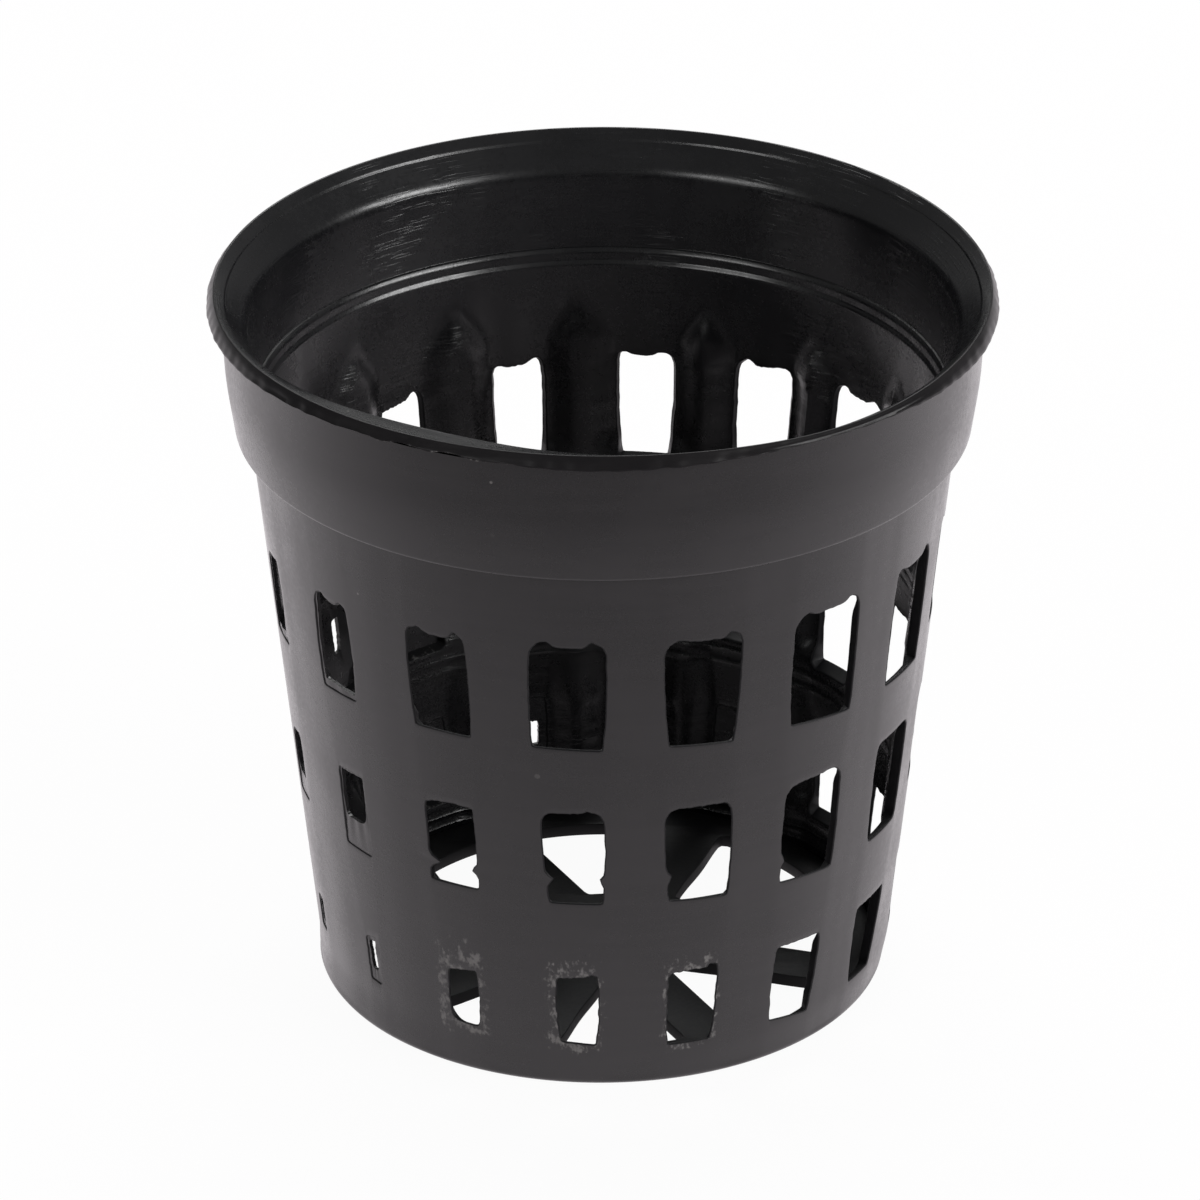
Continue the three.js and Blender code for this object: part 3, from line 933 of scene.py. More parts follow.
    def tunnel(self, shell: Shell, row: Row, column: int, outer: np.ndarray, inner: np.ndarray,
               depth: np.ndarray) -> None:
        """Lines one window, from the outer rim to the inner, with both edges rounded.

        Args:
            shell: the mesh being made.
            row: the window's row.
            column: the window's column.
            outer: numbers of the points round it outside.
            inner: numbers of the points round it inside.
            depth: wall thickness round it.
        """
        loop = self.loops[row, column]
        normal = outward(loop)
        splay = self.splay(normal)
        straight = np.zeros_like(splay)
        bends = [math.radians(angle) for angle in self.edge_bends]
        steps = [(straight + self.edge * (1 - math.sin(a)), straight + self.edge * (1 - math.cos(a)))
                 for a in bends]
        steps += [(splay + self.inner_edge * (1 - math.sin(a)), depth - self.inner_edge * (1 - math.cos(a)))
                  for a in reversed(bends)]
        rings = [outer]
        for number, (offset, sunk) in enumerate(steps):
            place = loop + offset[:, None] * normal
            radius = SIZES.wall_radius(place[:, 1]) - sunk
            turn = column * PITCH + np.arcsin(place[:, 0] / radius)
            # On those columns the inner sill and head edge rings are frosted pale as a painted highlight,
            # standing in for light caught on the edges.
            wear_and_painted_highlight = self.painted_edge_highlight * np.abs(normal[:, 1]) * (column in self.frosted_and_highlit and number >= len(bends))
            rings.append(shell.add(radius, turn, place[:, 1], wear_and_painted_highlight))
        rings.append(inner)
        for near, far in zip(rings[:-1], rings[1:]):
            shell.band(near, far, Skin.SHUTOFF)

    def frosting(self, turn: np.ndarray, z: np.ndarray) -> np.ndarray:
        """Frosted, scuffed plastic round the lower windows of the front.

        Args:
            turn: angles round the basket.
            z: heights.

        Returns:
            0 for clean plastic to 1 for frosted.
        """
        total = np.zeros_like(z)
        sill, head = SIZES.sills[0], SIZES.heads[0]
        for column in self.halo:
            off = np.mod(turn - column * PITCH + math.pi, 2.0 * math.pi) - math.pi
            sideways = off * SIZES.wall_radius(z)
            out = np.maximum(np.abs(sideways) - SIZES.half_width(head), 0.0)
            over, under = np.maximum(z - head, 0.0), np.maximum(sill - z, 0.0)
            gone = zip((out, over, under), self.halo_fade)
            total = np.maximum(total, np.exp(-sum((length / fade) ** 2 for length, fade in gone)))
        for scuff in self.scuffs:
            off = (np.degrees(turn) - scuff.angle + 180.0) % 360.0 - 180.0
            patch = np.exp(-((off / scuff.half_width) ** 2) - ((z - scuff.height) / scuff.half_height) ** 2)
            total = np.maximum(total, scuff.strength * patch)
        return np.nan_to_num(total)


@dataclass
class Collar:
    """The stepped collar over the wall, with the ledge inside it."""

    turns: int = 320
    lap: float = 0.15
    step_round: float = 0.24
    flare: float = 0.56
    flare_height: float = 3.8
    flare_round: float = 1.2
    tongue: float = 1.2
    tongue_wall: tuple[float, float] = (0.12, 0.02)
    draft: float = math.tan(math.radians(2.6))
    ledge_lift: float = 0.56
    ledge_width: float = 0.5
    ledge_rise: float = 1.14
    ledge_riser: float = 0.2
    ledge_chamfer: tuple[float, float] = (0.16, 0.3)
    ledge_rounds: tuple[float, float, float] = (0.05, 0.08, 0.12)
    skirt: tuple[float, float] = (0.012, 0.4)
    bore_draft: float = math.tan(math.radians(4.2))
    seam: float = 0.7
    wave: Unevenness = Unevenness(0.02, 7, (2, 14))

    def outer_radius(self, z: float) -> float:
        """Outer radius of the collar's upper part."""
        flare_top = SIZES.step + self.flare_height
        return SIZES.wall_radius(SIZES.step) + SIZES.collar_step + self.flare + (z - flare_top) * self.draft

    def bore(self, z: float) -> float:
        """Inner radius over the ledge.

        Args:
            z: height over the underside.

        Returns:
            The radius there.
        """
        step, head = SIZES.step, SIZES.heads[2]
        band = SIZES.wall_radius(head) - SIZES.bar_edge + (step + self.ledge_lift - head) * SIZES.core_draft
        return band + self.ledge_width + (z - step - self.ledge_lift - self.ledge_rise) * self.bore_draft

    def build(self, finishes: list[bpy.types.Material]) -> bpy.types.Object:
        """Turns the collar's profile.

        Args:
            finishes: materials, in the order of Skin.

        Returns:
            The collar's object.
        """
        step, mouth = SIZES.step, SIZES.mouth_bottom
        wall, seam = SIZES.wall_radius(step), mouth - self.seam
        flare_top, tongue_top = step + self.flare_height, mouth + self.tongue
        ledge_low, ledge_high = step + self.ledge_lift, step + self.ledge_lift + self.ledge_rise
        band = self.bore(ledge_high) - self.ledge_width
        riser, (across, down) = self.ledge_riser, self.ledge_chamfer
        root, upper, lower = self.ledge_rounds
        corners = [
            (wall - self.lap, step, 0.0),
            (wall + SIZES.collar_step, step, self.step_round),
            (self.outer_radius(flare_top), flare_top, self.flare_round),
            (self.outer_radius(tongue_top), tongue_top, 0.0),
            (self.bore(mouth) + self.tongue_wall[0], seam + self.tongue_wall[1], 0.0),
            (self.bore(seam), seam, 0.0),
            (self.bore(ledge_high), ledge_high, root),
            (band + riser + across, ledge_high, upper),
            (band + riser, ledge_high - down, lower),
            (band + across, ledge_low + down, upper),
            (band, ledge_low, lower),
            (band + self.skirt[0], ledge_low - self.skirt[1], 0.0),
        ]
        profile = rounded_profile(corners)
        turn = np.linspace(0.0, 2.0 * math.pi, self.turns, endpoint=False)
        shell = Shell()
        wave = self.wave.along(turn)
        rows = [shell.add(radius + wave, turn, np.full(self.turns, z)) for radius, z in profile]
        top = int(np.argmax(profile[:, 1]))
        for i, row in enumerate(rows):
            skin = Skin.CAVITY if i < top else Skin.CORE
            shell.band(row, rows[(i + 1) % len(rows)], skin)
        return shell.finish("collar_ring", finishes)


@dataclass(frozen=True)
class Burr:
    """A tag of flash on the lip's edge: angle and width in degrees, reach and droop in millimetres."""

    angle: float
    width: float
    reach: float
    droop: float


@dataclass(frozen=True)
class Stretch:
    """A soft stretch of the lip: its middle and half-width in degrees, and an amount."""

    angle: float
    half_width: float
    amount: float = 1.0

    def along(self, turn: np.ndarray) -> np.ndarray:
        """The amount at each angle round the basket."""
        return self.amount * bump(np.degrees(turn), self.angle, self.half_width)


@dataclass
class RimLip:
    """The lip round the mouth: a domed flange with a thin ragged edge."""

    collar: Collar
    turns: int = 900
    height: float = 1.05
    neck_in: tuple[float, float] = (0.25, 0.12)
    neck_drop: float = 0.35
    edge: float = 0.15
    edge_rounds: tuple[float, float] = (0.06, 0.05)
    shoulder: tuple[float, float] = (0.2, 0.68)
    shoulder_round: float = 0.2
    crest: float = 0.55
    crest_round: float = 0.16
    top_width: float = 1.2
    dish: float = 0.65
    drop: float = 0.16
    drop_in: float = 0.05
    dish_rounds: tuple[float, float] = (0.09, 0.05)
    mouth_round: float = 0.5
    tuck: float = 0.3
    trim: float = 0.09
    ragged: Unevenness = Unevenness(0.036, 3, (20, 150), 26)
    sway: Unevenness = Unevenness(0.018, 5, (2, 12))
    droop: Unevenness = Unevenness(0.03, 9, (12, 90), 22)
    rub: Stretch = Stretch(-16.0, 13.0)
    rub_level: float = 1.2
    chips: Unevenness = Unevenness(0.4, 21, (20, 90))
    burrs: tuple[Burr, ...] = (
        Burr(-94.0, 3.0, 0.12, 0.0), Burr(-154.0, 2.0, 0.12, 0.0), Burr(121.0, 9.0, -0.4, 0.0),
        Burr(-19.6, 3.0, 0.1, 0.22), Burr(-27.0, 4.0, 0.08, 0.12), Burr(-12.0, 5.0, 0.06, 0.14),
        Burr(60.0, 5.0, 0.05, 0.05), Burr(160.0, 3.0, 0.08, 0.0), Burr(75.0, 44.0, 0.04, 0.12),
        Burr(-80.0, 50.0, 0.04, 0.1), Burr(-38.0, 44.0, 0.0, -0.22))
    swell: Stretch = Stretch(-22.0, 30.0)
    swell_in: float = 1.2
    swell_sunk: float = 0.45
    dip: Stretch = Stretch(47.0, 22.0, 0.4)
    thinned: tuple[Stretch, ...] = (Stretch(-18.0, 13.0, 0.42), Stretch(38.0, 22.0, 0.34))
    rim_blend: tuple[float, float] = (0.4, 0.35)
    top_blend: tuple[float, float] = (0.3, 0.5)
    hang: float = 0.3
    dip_blend: float = 0.9
    thin_blend: float = 0.8

    def profile(self, under: float, reach: float) -> np.ndarray:
        """The lip's profile before it is made uneven.

        Args:
            under: height of its underside.
            reach: radius of its edge.

        Returns:
            Points (radius, height).
        """
        top, mouth = SIZES.top, SIZES.mouth_bottom
        neck = self.collar.outer_radius(under)
        inner, low = SIZES.reach - self.top_width, mouth - self.collar.seam
        return rounded_profile([
            (neck - self.neck_in[0], under - self.neck_drop, 0.0),
            (neck - self.neck_in[1], under, 0.0),
            (reach, under, self.edge_rounds[0]),
            (reach, under + self.edge, self.edge_rounds[1]),
            (reach - self.shoulder[0], under + self.shoulder[1], self.shoulder_round),
            (SIZES.reach - self.crest, top, self.crest_round),
            (inner, top - self.dish, self.dish_rounds[0]),
            (inner - self.drop_in, top - self.dish - self.drop, self.dish_rounds[1]),
            (self.collar.bore(mouth), mouth, self.mouth_round),
            (self.collar.bore(low), low, 0.0),
            (self.collar.bore(low) + self.tuck, low, 0.0),
        ])

    def build(self, finishes: list[bpy.types.Material]) -> bpy.types.Object:
        """Turns the lip with its uneven edge.

        Args:
            finishes: materials, in the order of Skin.

        Returns:
            The lip's object.
        """
        top, mouth = SIZES.top, SIZES.mouth_bottom
        under, reach = top - self.height, SIZES.reach - self.trim
        profile = self.profile(under, reach)
        turn = np.linspace(-math.pi, math.pi, self.turns, endpoint=False)
        push = self.ragged.along(turn) + self.sway.along(turn)
        droop = self.droop.along(turn)
        for burr in self.burrs:
            tag = bump(np.degrees(turn), burr.angle, burr.width / 2)
            push, droop = push + burr.reach * tag, droop - burr.droop * tag
        push = np.minimum(push, self.trim)
        rub = np.minimum(self.rub.along(turn) * (self.rub_level + self.chips.along(turn)), 1.0)
        full, lowered = self.swell.along(turn), self.dip.along(turn)
        raised = sum(stretch.along(turn) for stretch in self.thinned)
        shell = Shell()
        rows = []
        for radius, z in profile:
            outer = ease((radius - reach + self.rim_blend[0]) / self.rim_blend[1])
            hung = ease((under + self.hang - z) / self.hang) * outer
            within = ease((SIZES.reach - self.crest - radius) / self.top_blend[0])
            within *= ease((z - mouth - self.top_blend[1]) / self.top_blend[1])
            lift = full * within * (top - self.swell_sunk - z) - lowered * ease((z - under) / self.dip_blend)
            lift += raised * outer * np.clip((under + self.thin_blend - z) / self.thin_blend, 0.0, 1.0)
            spread = push * outer - self.swell_in * full * within
            rows.append(shell.add(radius + spread, turn, z + droop * hung + lift, rub * hung))
        rim = int(np.argmax(profile[:, 1]))
        for i, row in enumerate(rows):
            shell.band(row, rows[(i + 1) % len(rows)], Skin.CAVITY if i < rim else Skin.CORE)
        return shell.finish("lip_ring", finishes)


@dataclass(frozen=True)
class Web:
    """Flash along a spoke's edge: the gap that it narrows, and its width at the hub and at the ring."""

    gap: int
    at_hub: float
    at_ring: float
    leading: bool
    start: float = SIZES.hub_radius


@dataclass
class FloorGrille:
    """The floor: a ring, eight spokes and a hub, cut from one plate."""

    spokes: int = 8
    spoke_width: float = 3.0
    first_turn: float = -PITCH / 2
    rim: float = 18.2
    bevel: float = 0.1
    bevel_steps: int = 2
    corner: float = 0.5
    corner_share: float = 0.3
    lift: float = 0.02
    crease: float = 25.0
    edge_points: int = 40
    rim_points: int = 192
    gap_steps: tuple[int, ...] = (24, 24, 24, 12)
    web_wave: tuple[float, float] = (0.05, 9.0)
    deeper: tuple[tuple[int, float], ...] = ((6, 1.5), (1, 1.4), (3, 0.7))
    webs: tuple[Web, ...] = (
        Web(3, 1.7, 2.3, False, 7.0), Web(3, 0.0, -1.5, True), Web(7, 0.5, 1.6, True, 5.9),
        Web(0, 0.6, 0.4, False, 5.8), Web(0, 0.4, -0.1, True), Web(1, 0.7, 0.5, False))

    def gap(self, number: int) -> np.ndarray:
        """Outline of the gap between two spokes.

        Args:
            number: the spoke that it follows.

        Returns:
            Points (x, y), anticlockwise.
        """
        share = np.linspace(0.0, 1.0, self.edge_points)
        start = self.first_turn + number * 2.0 * math.pi / self.spokes
        end = start + 2.0 * math.pi / self.spokes
        flash = [web for web in self.webs if web.gap == number]
        inner, outer = max([SIZES.hub_radius, *(web.start for web in flash)]), SIZES.floor_ring
        outer += dict(self.deeper).get(number, 0.0)

        def place(radius: np.ndarray, turn: np.ndarray) -> np.ndarray:
            """Points round the axis."""
            return np.stack([radius * np.sin(turn), -radius * np.cos(turn)], axis=1)

        run = inner + (outer - inner) * share

        def edge_turn(leading: bool) -> np.ndarray:
            """Angles by which the edge of a spoke, with its flash, lies beside the spoke's middle.

            Args:
                leading: whether it is the edge at the gap's start.

            Returns:
                The angles from the hub outwards.
            """
            half = np.full(self.edge_points, self.spoke_width / 2)
            height, waves = self.web_wave
            for web in flash:
                if web.leading is leading:
                    half += web.at_hub + (web.at_ring - web.at_hub) * share
                    half += height * np.sin(waves * share + number)
            return np.arcsin(half / run)

        leading, trailing = edge_turn(True), edge_turn(False)
        first = place(run, start + leading)
        last = place(run[::-1], end - trailing[::-1])
        tips, roots = (start + leading[-1], end - trailing[-1]), (end - trailing[0], start + leading[0])
        far = place(np.full_like(share, outer), tips[0] + (tips[1] - tips[0]) * share)
        near = place(np.full_like(share, inner), roots[0] + (roots[1] - roots[0]) * share)
        tight = min(self.corner, self.corner_share * float(np.linalg.norm(near[0] - near[-1])))
        rounds = [tight, self.corner, self.corner, tight]
        return rounded_loop([first, far, last, near], rounds, list(self.gap_steps))

    def build(self, finishes: list[bpy.types.Material]) -> bpy.types.Object:
        """Cuts the plate and rounds its edges.

        Args:
            finishes: materials, in the order of Skin.

        Returns:
            The floor's object.
        """
        outline = bpy.data.curves.new("floor_outline", "CURVE")
        outline.dimensions = "2D"
        outline.fill_mode = "BOTH"
        thick = SIZES.floor - self.lift
        outline.extrude = (thick / 2 - self.bevel) * MM
        outline.bevel_depth = self.bevel * MM
        outline.bevel_resolution = self.bevel_steps
        outline.offset = -self.bevel * MM
        turn = np.linspace(0.0, 2.0 * math.pi, self.rim_points, endpoint=False)
        loops = [np.stack([self.rim * np.sin(turn), -self.rim * np.cos(turn)], axis=1)]
        loops += [self.gap(number) for number in range(self.spokes)]
        for loop in loops:
            spline = outline.splines.new("POLY")
            spline.points.add(len(loop) - 1)
            spline.use_cyclic_u = True
            for point, (x, y) in zip(spline.points, loop):
                point.co = (x * MM, y * MM, 0.0, 1.0)
        drawn = bpy.data.objects.new("floor_outline", outline)
        bpy.context.scene.collection.objects.link(drawn)
        bpy.context.view_layer.update()
        mesh = bpy.data.meshes.new_from_object(drawn.evaluated_get(bpy.context.evaluated_depsgraph_get()))
        mesh.name = "floor_grille"
        mesh.transform(Matrix.Translation((0.0, 0.0, (self.lift + thick / 2) * MM)))
        bpy.data.objects.remove(drawn)
        mesh.materials.clear()
        mesh.materials.append(finishes[Skin.CORE.value])
        weld(mesh)
        mesh.shade_smooth()
        mesh.set_sharp_from_angle(angle=math.radians(self.crease))
        piece = bpy.data.objects.new("floor_grille", mesh)
        bpy.context.scene.collection.objects.link(piece)
        return piece


def weld(mesh: bpy.types.Mesh, apart: float = 1e-7) -> None:
    """Joins the doubled points of a mesh, so that it is closed.

    Args:
        mesh: the mesh to change.
        apart: points nearer than this, in metres, are joined.
    """
    work = bmesh.new()
    work.from_mesh(mesh)
    bmesh.ops.remove_doubles(work, verts=work.verts, dist=apart)
    bmesh.ops.recalc_face_normals(work, faces=work.faces)
    work.to_mesh(mesh)
    work.free()


@dataclass
class FlashFilms:
    """Thin flash that partly closes some windows, a little behind the wall's face."""

    across: int = 24
    along: int = 18
    sunk: float = 0.06
    thick: float = 0.25
    tuck: float = 0.2
    rings: int = 6
    wave: float = 0.03
    waves: tuple[int, int] = (2, 9)
    hole_seed: int = 7

    def build(self, finishes: list[bpy.types.Material]) -> bpy.types.Object:
        """Makes a sheet with an opening for each such window.

        Args:
            finishes: materials, in the order of Skin.

        Returns:
            One object with all the sheets.
        """
        shell = Shell()
        for place, opening in FLASHED_OPENINGS.items():
            self.sheet(shell, place[0], place[1], opening)
        return shell.finish("flash_films", finishes)

    def sheet(self, shell: Shell, row: Row, column: int, opening: WindowShape) -> None:
        """Adds the sheet of one window.

        Args:
            shell: the mesh being made.
            row: the window's row.
            column: the window's column.
            opening: what is left open.
        """
        seed = window_seed(row, column)
        hole = opening.loop(row, self.across, self.along, seed + self.hole_seed)
        border = FLASHED_FRAMES[row, column].loop(row, self.across, self.along, seed)
        border = border + self.tuck * outward(border)
        turn = np.linspace(0.0, 2.0 * math.pi, len(hole), endpoint=False)
        front, back = [], []
        for share in np.linspace(0.0, 1.0, self.rings):
            place = hole + (border - hole) * share
            wavy = self.wave * (1.0 + ripple(turn, seed, self.waves)) * (1.0 - share)
            for side, depth in ((front, self.sunk + wavy), (back, self.sunk + self.thick + wavy)):
                radius = SIZES.wall_radius(place[:, 1]) - depth
                side.append(shell.add(radius, column * PITCH + np.arcsin(place[:, 0] / radius), place[:, 1]))
        for i in range(self.rings - 1):
            shell.band(front[i + 1], front[i], Skin.CAVITY)
            shell.band(back[i], back[i + 1], Skin.CORE)
        shell.band(front[0], back[0], Skin.CORE)
        shell.band(back[-1], front[-1], Skin.CORE)


Feed = bpy.types.NodeSocket | float | tuple[float, ...]


class Graph:
    """Short ways to add and join shader nodes in one node tree."""

    def __init__(self, tree: bpy.types.NodeTree) -> None:
        """Works on the given tree."""
        self.tree = tree

    def node(self, kind: str, **settings: object) -> bpy.types.Node:
        """Adds a node and sets its properties.

        Args:
            kind: Blender's name for the node.
            settings: properties by name.

        Returns:
            The node.
        """
        made = self.tree.nodes.new(kind)
        for name, value in settings.items():
            setattr(made, name, value)
        return made

    def feed(self, socket: bpy.types.NodeSocket, value: Feed) -> None:
        """Links a socket to another, or sets it to a plain value.

        Args:
            socket: what is fed.
            value: the other socket, or the value.
        """
        if isinstance(value, bpy.types.NodeSocket):
            self.tree.links.new(value, socket)
        else:
            socket.default_value = value

    def math(self, operation: str, first: Feed, second: Feed = 0.0,
             clamp: bool = False) -> bpy.types.NodeSocket:
        """Adds a Math node.

        Args:
            operation: what it does.
            first: socket or value.
            second: socket or value.
            clamp: keeps the result between 0 and 1.

        Returns:
            Its result.
        """
        made = self.node("ShaderNodeMath", operation=operation, use_clamp=clamp)
        self.feed(made.inputs[0], first)
        self.feed(made.inputs[1], second)
        return made.outputs[0]

    def weighed(self, first: Feed, weight: float, second: Feed, other: float) -> bpy.types.NodeSocket:
        """Adds two values, each times its own weight."""
        return self.math("ADD", self.math("MULTIPLY", first, weight), self.math("MULTIPLY", second, other))

    def blend(self, share: Feed, first: Feed, second: Feed) -> bpy.types.NodeSocket:
        """Mixes two colours.

        Args:
            share: socket or value, 0 for the first colour and 1 for the second.
            first: socket or colour.
            second: socket or colour.

        Returns:
            The mixed colour.
        """
        made = self.node("ShaderNodeMix", data_type="RGBA")
        self.feed(made.inputs["Factor"], share)
        self.feed(made.inputs[6], first)
        self.feed(made.inputs[7], second)
        return made.outputs[2]

    def remap(self, value: Feed, low: float, high: float, start: float = 0.0,
              end: float = 1.0) -> bpy.types.NodeSocket:
        """Maps one range smoothly on to another.

        Args:
            value: socket to map.
            low: where the step starts.
            high: where it ends.
            start: result at low.
            end: result at high.

        Returns:
            The mapped value.
        """
        made = self.node("ShaderNodeMapRange", interpolation_type="SMOOTHSTEP")
        self.feed(made.inputs["Value"], value)
        for name, number in (("From Min", low), ("From Max", high), ("To Min", start), ("To Max", end)):
            made.inputs[name].default_value = number
        return made.outputs["Result"]

    def noise(self, place: bpy.types.NodeSocket, scale: Feed, detail: float = 3.0) -> bpy.types.NodeSocket:
        """Adds a Noise texture.

        Args:
            place: where it is read.
            scale: socket or value, the higher the finer.
            detail: finer layers of it.

        Returns:
            Its value.
        """
        made = self.node("ShaderNodeTexNoise")
        self.feed(made.inputs["Vector"], place)
        self.feed(made.inputs["Scale"], scale)
        made.inputs["Detail"].default_value = detail
        return made.outputs["Fac"]

    def place(self, stretch: tuple[float, float, float] | None = None) -> bpy.types.NodeSocket:
        """The shaded point in the basket's own frame.

        Args:
            stretch: factors along the axes, if it is stretched.

        Returns:
            The point.
        """
        where = self.node("ShaderNodeTexCoord").outputs["Object"]
        if stretch is None:
            return where
        made = self.node("ShaderNodeMapping")
        self.feed(made.inputs["Vector"], where)
        made.inputs["Scale"].default_value = stretch
        return made.outputs["Vector"]


class EffectGroup:
    """A shader node group with named values in and out, built once and shared by the finishes."""

    def __init__(self, name: str, inputs: dict[str, float], outputs: list[str]) -> None:
        """Makes the group and its sockets.

        Args:
            name: the group's name.
            inputs: names and usual values of what goes in.
            outputs: names of what comes out.
        """
        self.tree = bpy.data.node_groups.new(name, "ShaderNodeTree")
        for socket, value in inputs.items():
            made = self.tree.interface.new_socket(socket, in_out="INPUT", socket_type="NodeSocketFloat")
            made.default_value = value
        for socket in outputs:
            self.tree.interface.new_socket(socket, in_out="OUTPUT", socket_type="NodeSocketFloat")
        self.graph = Graph(self.tree)
        self.inputs = self.graph.node("NodeGroupInput").outputs
        self.outputs = self.graph.node("NodeGroupOutput").inputs

    def put(self, graph: Graph, **values: Feed) -> bpy.types.Node:
        """Places the group in a material.

        Args:
            graph: the material's graph.
            values: inputs by name, with _ for a space.

        Returns:
            The group's node.
        """
        made = graph.node("ShaderNodeGroup", node_tree=self.tree)
        for name, value in values.items():
            graph.feed(made.inputs[name.replace("_", " ")], value)
        return made


def moulded_skin() -> EffectGroup:
    """Fine grain, broad mottling and faint flow streaks of moulded plastic.

    Returns:
        A group that gives the relief's height, the tone and the gloss.
    """
    streak_scale, streak_squeeze = 160.0, 9.0
    grain_relief, mottle_relief, streak_relief = 0.35, 1.0, 0.35
    mottle_tone, streak_tone, tone_range = 0.6, 0.4, (0.35, 0.65)
    grain_gloss, mottle_gloss, gloss_range = 0.4, 0.6, (0.3, 0.7)
    effect = EffectGroup("moulded_skin", {"Grain": 3200.0, "Mottle": 170.0}, ["Height", "Tone", "Gloss"])
    graph = effect.graph
    grain = graph.noise(graph.place(), effect.inputs["Grain"], 4.0)
    mottle = graph.noise(graph.place(), effect.inputs["Mottle"], 4.0)
    streaks = graph.noise(graph.place((1.0, 1.0, streak_squeeze)), streak_scale, 3.0)
    height = graph.weighed(grain, grain_relief, mottle, mottle_relief)
    height = graph.math("ADD", height, graph.math("MULTIPLY", streaks, streak_relief))
    graph.feed(effect.outputs["Height"], height)
    tone = graph.weighed(mottle, mottle_tone, streaks, streak_tone)
    graph.feed(effect.outputs["Tone"], graph.remap(tone, *tone_range))
    gloss = graph.weighed(grain, grain_gloss, mottle, mottle_gloss)
    graph.feed(effect.outputs["Gloss"], graph.remap(gloss, *gloss_range))
    return effect


def settled_dust() -> EffectGroup:
    """Scattered pale specks of dust and lint.

    Returns:
        A group that gives the specks as a mask.
    """
    wander_scale, wander_reach, least_size = 900.0, 0.1, 0.35
    effect = EffectGroup("settled_dust", {"Scale": 420.0, "Share": 0.3, "Size": 0.05}, ["Mask"])
    graph = effect.graph
    cells = graph.node("ShaderNodeTexVoronoi")
    wander = graph.noise(graph.place(), wander_scale, 2.0)
    graph.feed(cells.inputs["Vector"], graph.place())
    graph.feed(cells.inputs["Scale"], effect.inputs["Scale"])
    chosen = graph.node("ShaderNodeSeparateColor")
    graph.feed(chosen.inputs["Color"], cells.outputs["Color"])
    size = graph.math("ADD", chosen.outputs["Green"], least_size)
    reach = graph.math("MULTIPLY", effect.inputs["Size"], size)
    astray = graph.math("MULTIPLY", graph.math("SUBTRACT", wander, 0.5), wander_reach)
    speck = graph.math("LESS_THAN", graph.math("ADD", cells.outputs["Distance"], astray), reach)
    picked = graph.math("LESS_THAN", chosen.outputs["Red"], effect.inputs["Share"])
    strength = graph.math("MULTIPLY", chosen.outputs["Blue"], graph.math("MULTIPLY", speck, picked))
    graph.feed(effect.outputs["Mask"], strength)
    return effect


def drag_marks() -> EffectGroup:
    """Fine scratches that run round the basket, in patches.

    Returns:
        A group that gives the scratches' height.
    """
    scratches_round, scratch_range = 7.0, (0.52, 0.66)
    patch_scale, patch_range = 130.0, (0.45, 0.6)
    effect = EffectGroup("drag_marks", {"Fineness": 8000.0}, ["Height"])
    graph = effect.graph
    place = graph.node("ShaderNodeSeparateXYZ")
    graph.feed(place.inputs[0], graph.place())
    turn = graph.math("ARCTAN2", place.outputs["X"], place.outputs["Y"])
    unrolled = graph.node("ShaderNodeCombineXYZ")
    graph.feed(unrolled.inputs["X"], graph.math("MULTIPLY", turn, scratches_round))
    graph.feed(unrolled.inputs["Z"], graph.math("MULTIPLY", place.outputs["Z"], effect.inputs["Fineness"]))
    lines = graph.remap(graph.noise(unrolled.outputs[0], 1.0, 2.0), *scratch_range)
    patches = graph.remap(graph.noise(graph.place(), patch_scale, 2.0), *patch_range)
    graph.feed(effect.outputs["Height"], graph.math("MULTIPLY", lines, patches))
    return effect


def frosted_rub() -> EffectGroup:
    """Speckled frosting where plastic was scuffed or scraped, led by an amount from 0 to 1; it also speckles
    the painted highlight on some window edges.

    Returns:
        A group that gives the frosting as a mask.
    """
    coarse_scale, coarse_weight = 1500.0, 0.55
    fine_scale, fine_squeeze, fine_weight = 5200.0, 0.6, 0.45
    lead, frost_range = 0.22, (0.46, 0.62)
    effect = EffectGroup("frosted_rub", {"Amount": 0.0}, ["Mask"])
    graph = effect.graph
    coarse = graph.noise(graph.place(), coarse_scale, 5.0)
    fine = graph.noise(graph.place((1.0, 1.0, fine_squeeze)), fine_scale, 3.0)
    grit = graph.weighed(coarse, coarse_weight, fine, fine_weight)
    held_back = graph.math("MULTIPLY", graph.math("SUBTRACT", effect.inputs["Amount"], 1.0), lead)
    graph.feed(effect.outputs["Mask"], graph.remap(graph.math("ADD", grit, held_back), *frost_range))
    return effect


@dataclass(frozen=True)
class Effects:
    """The effect groups that the finishes share."""

    skin: EffectGroup
    dust: EffectGroup
    rub: EffectGroup
    drag: EffectGroup


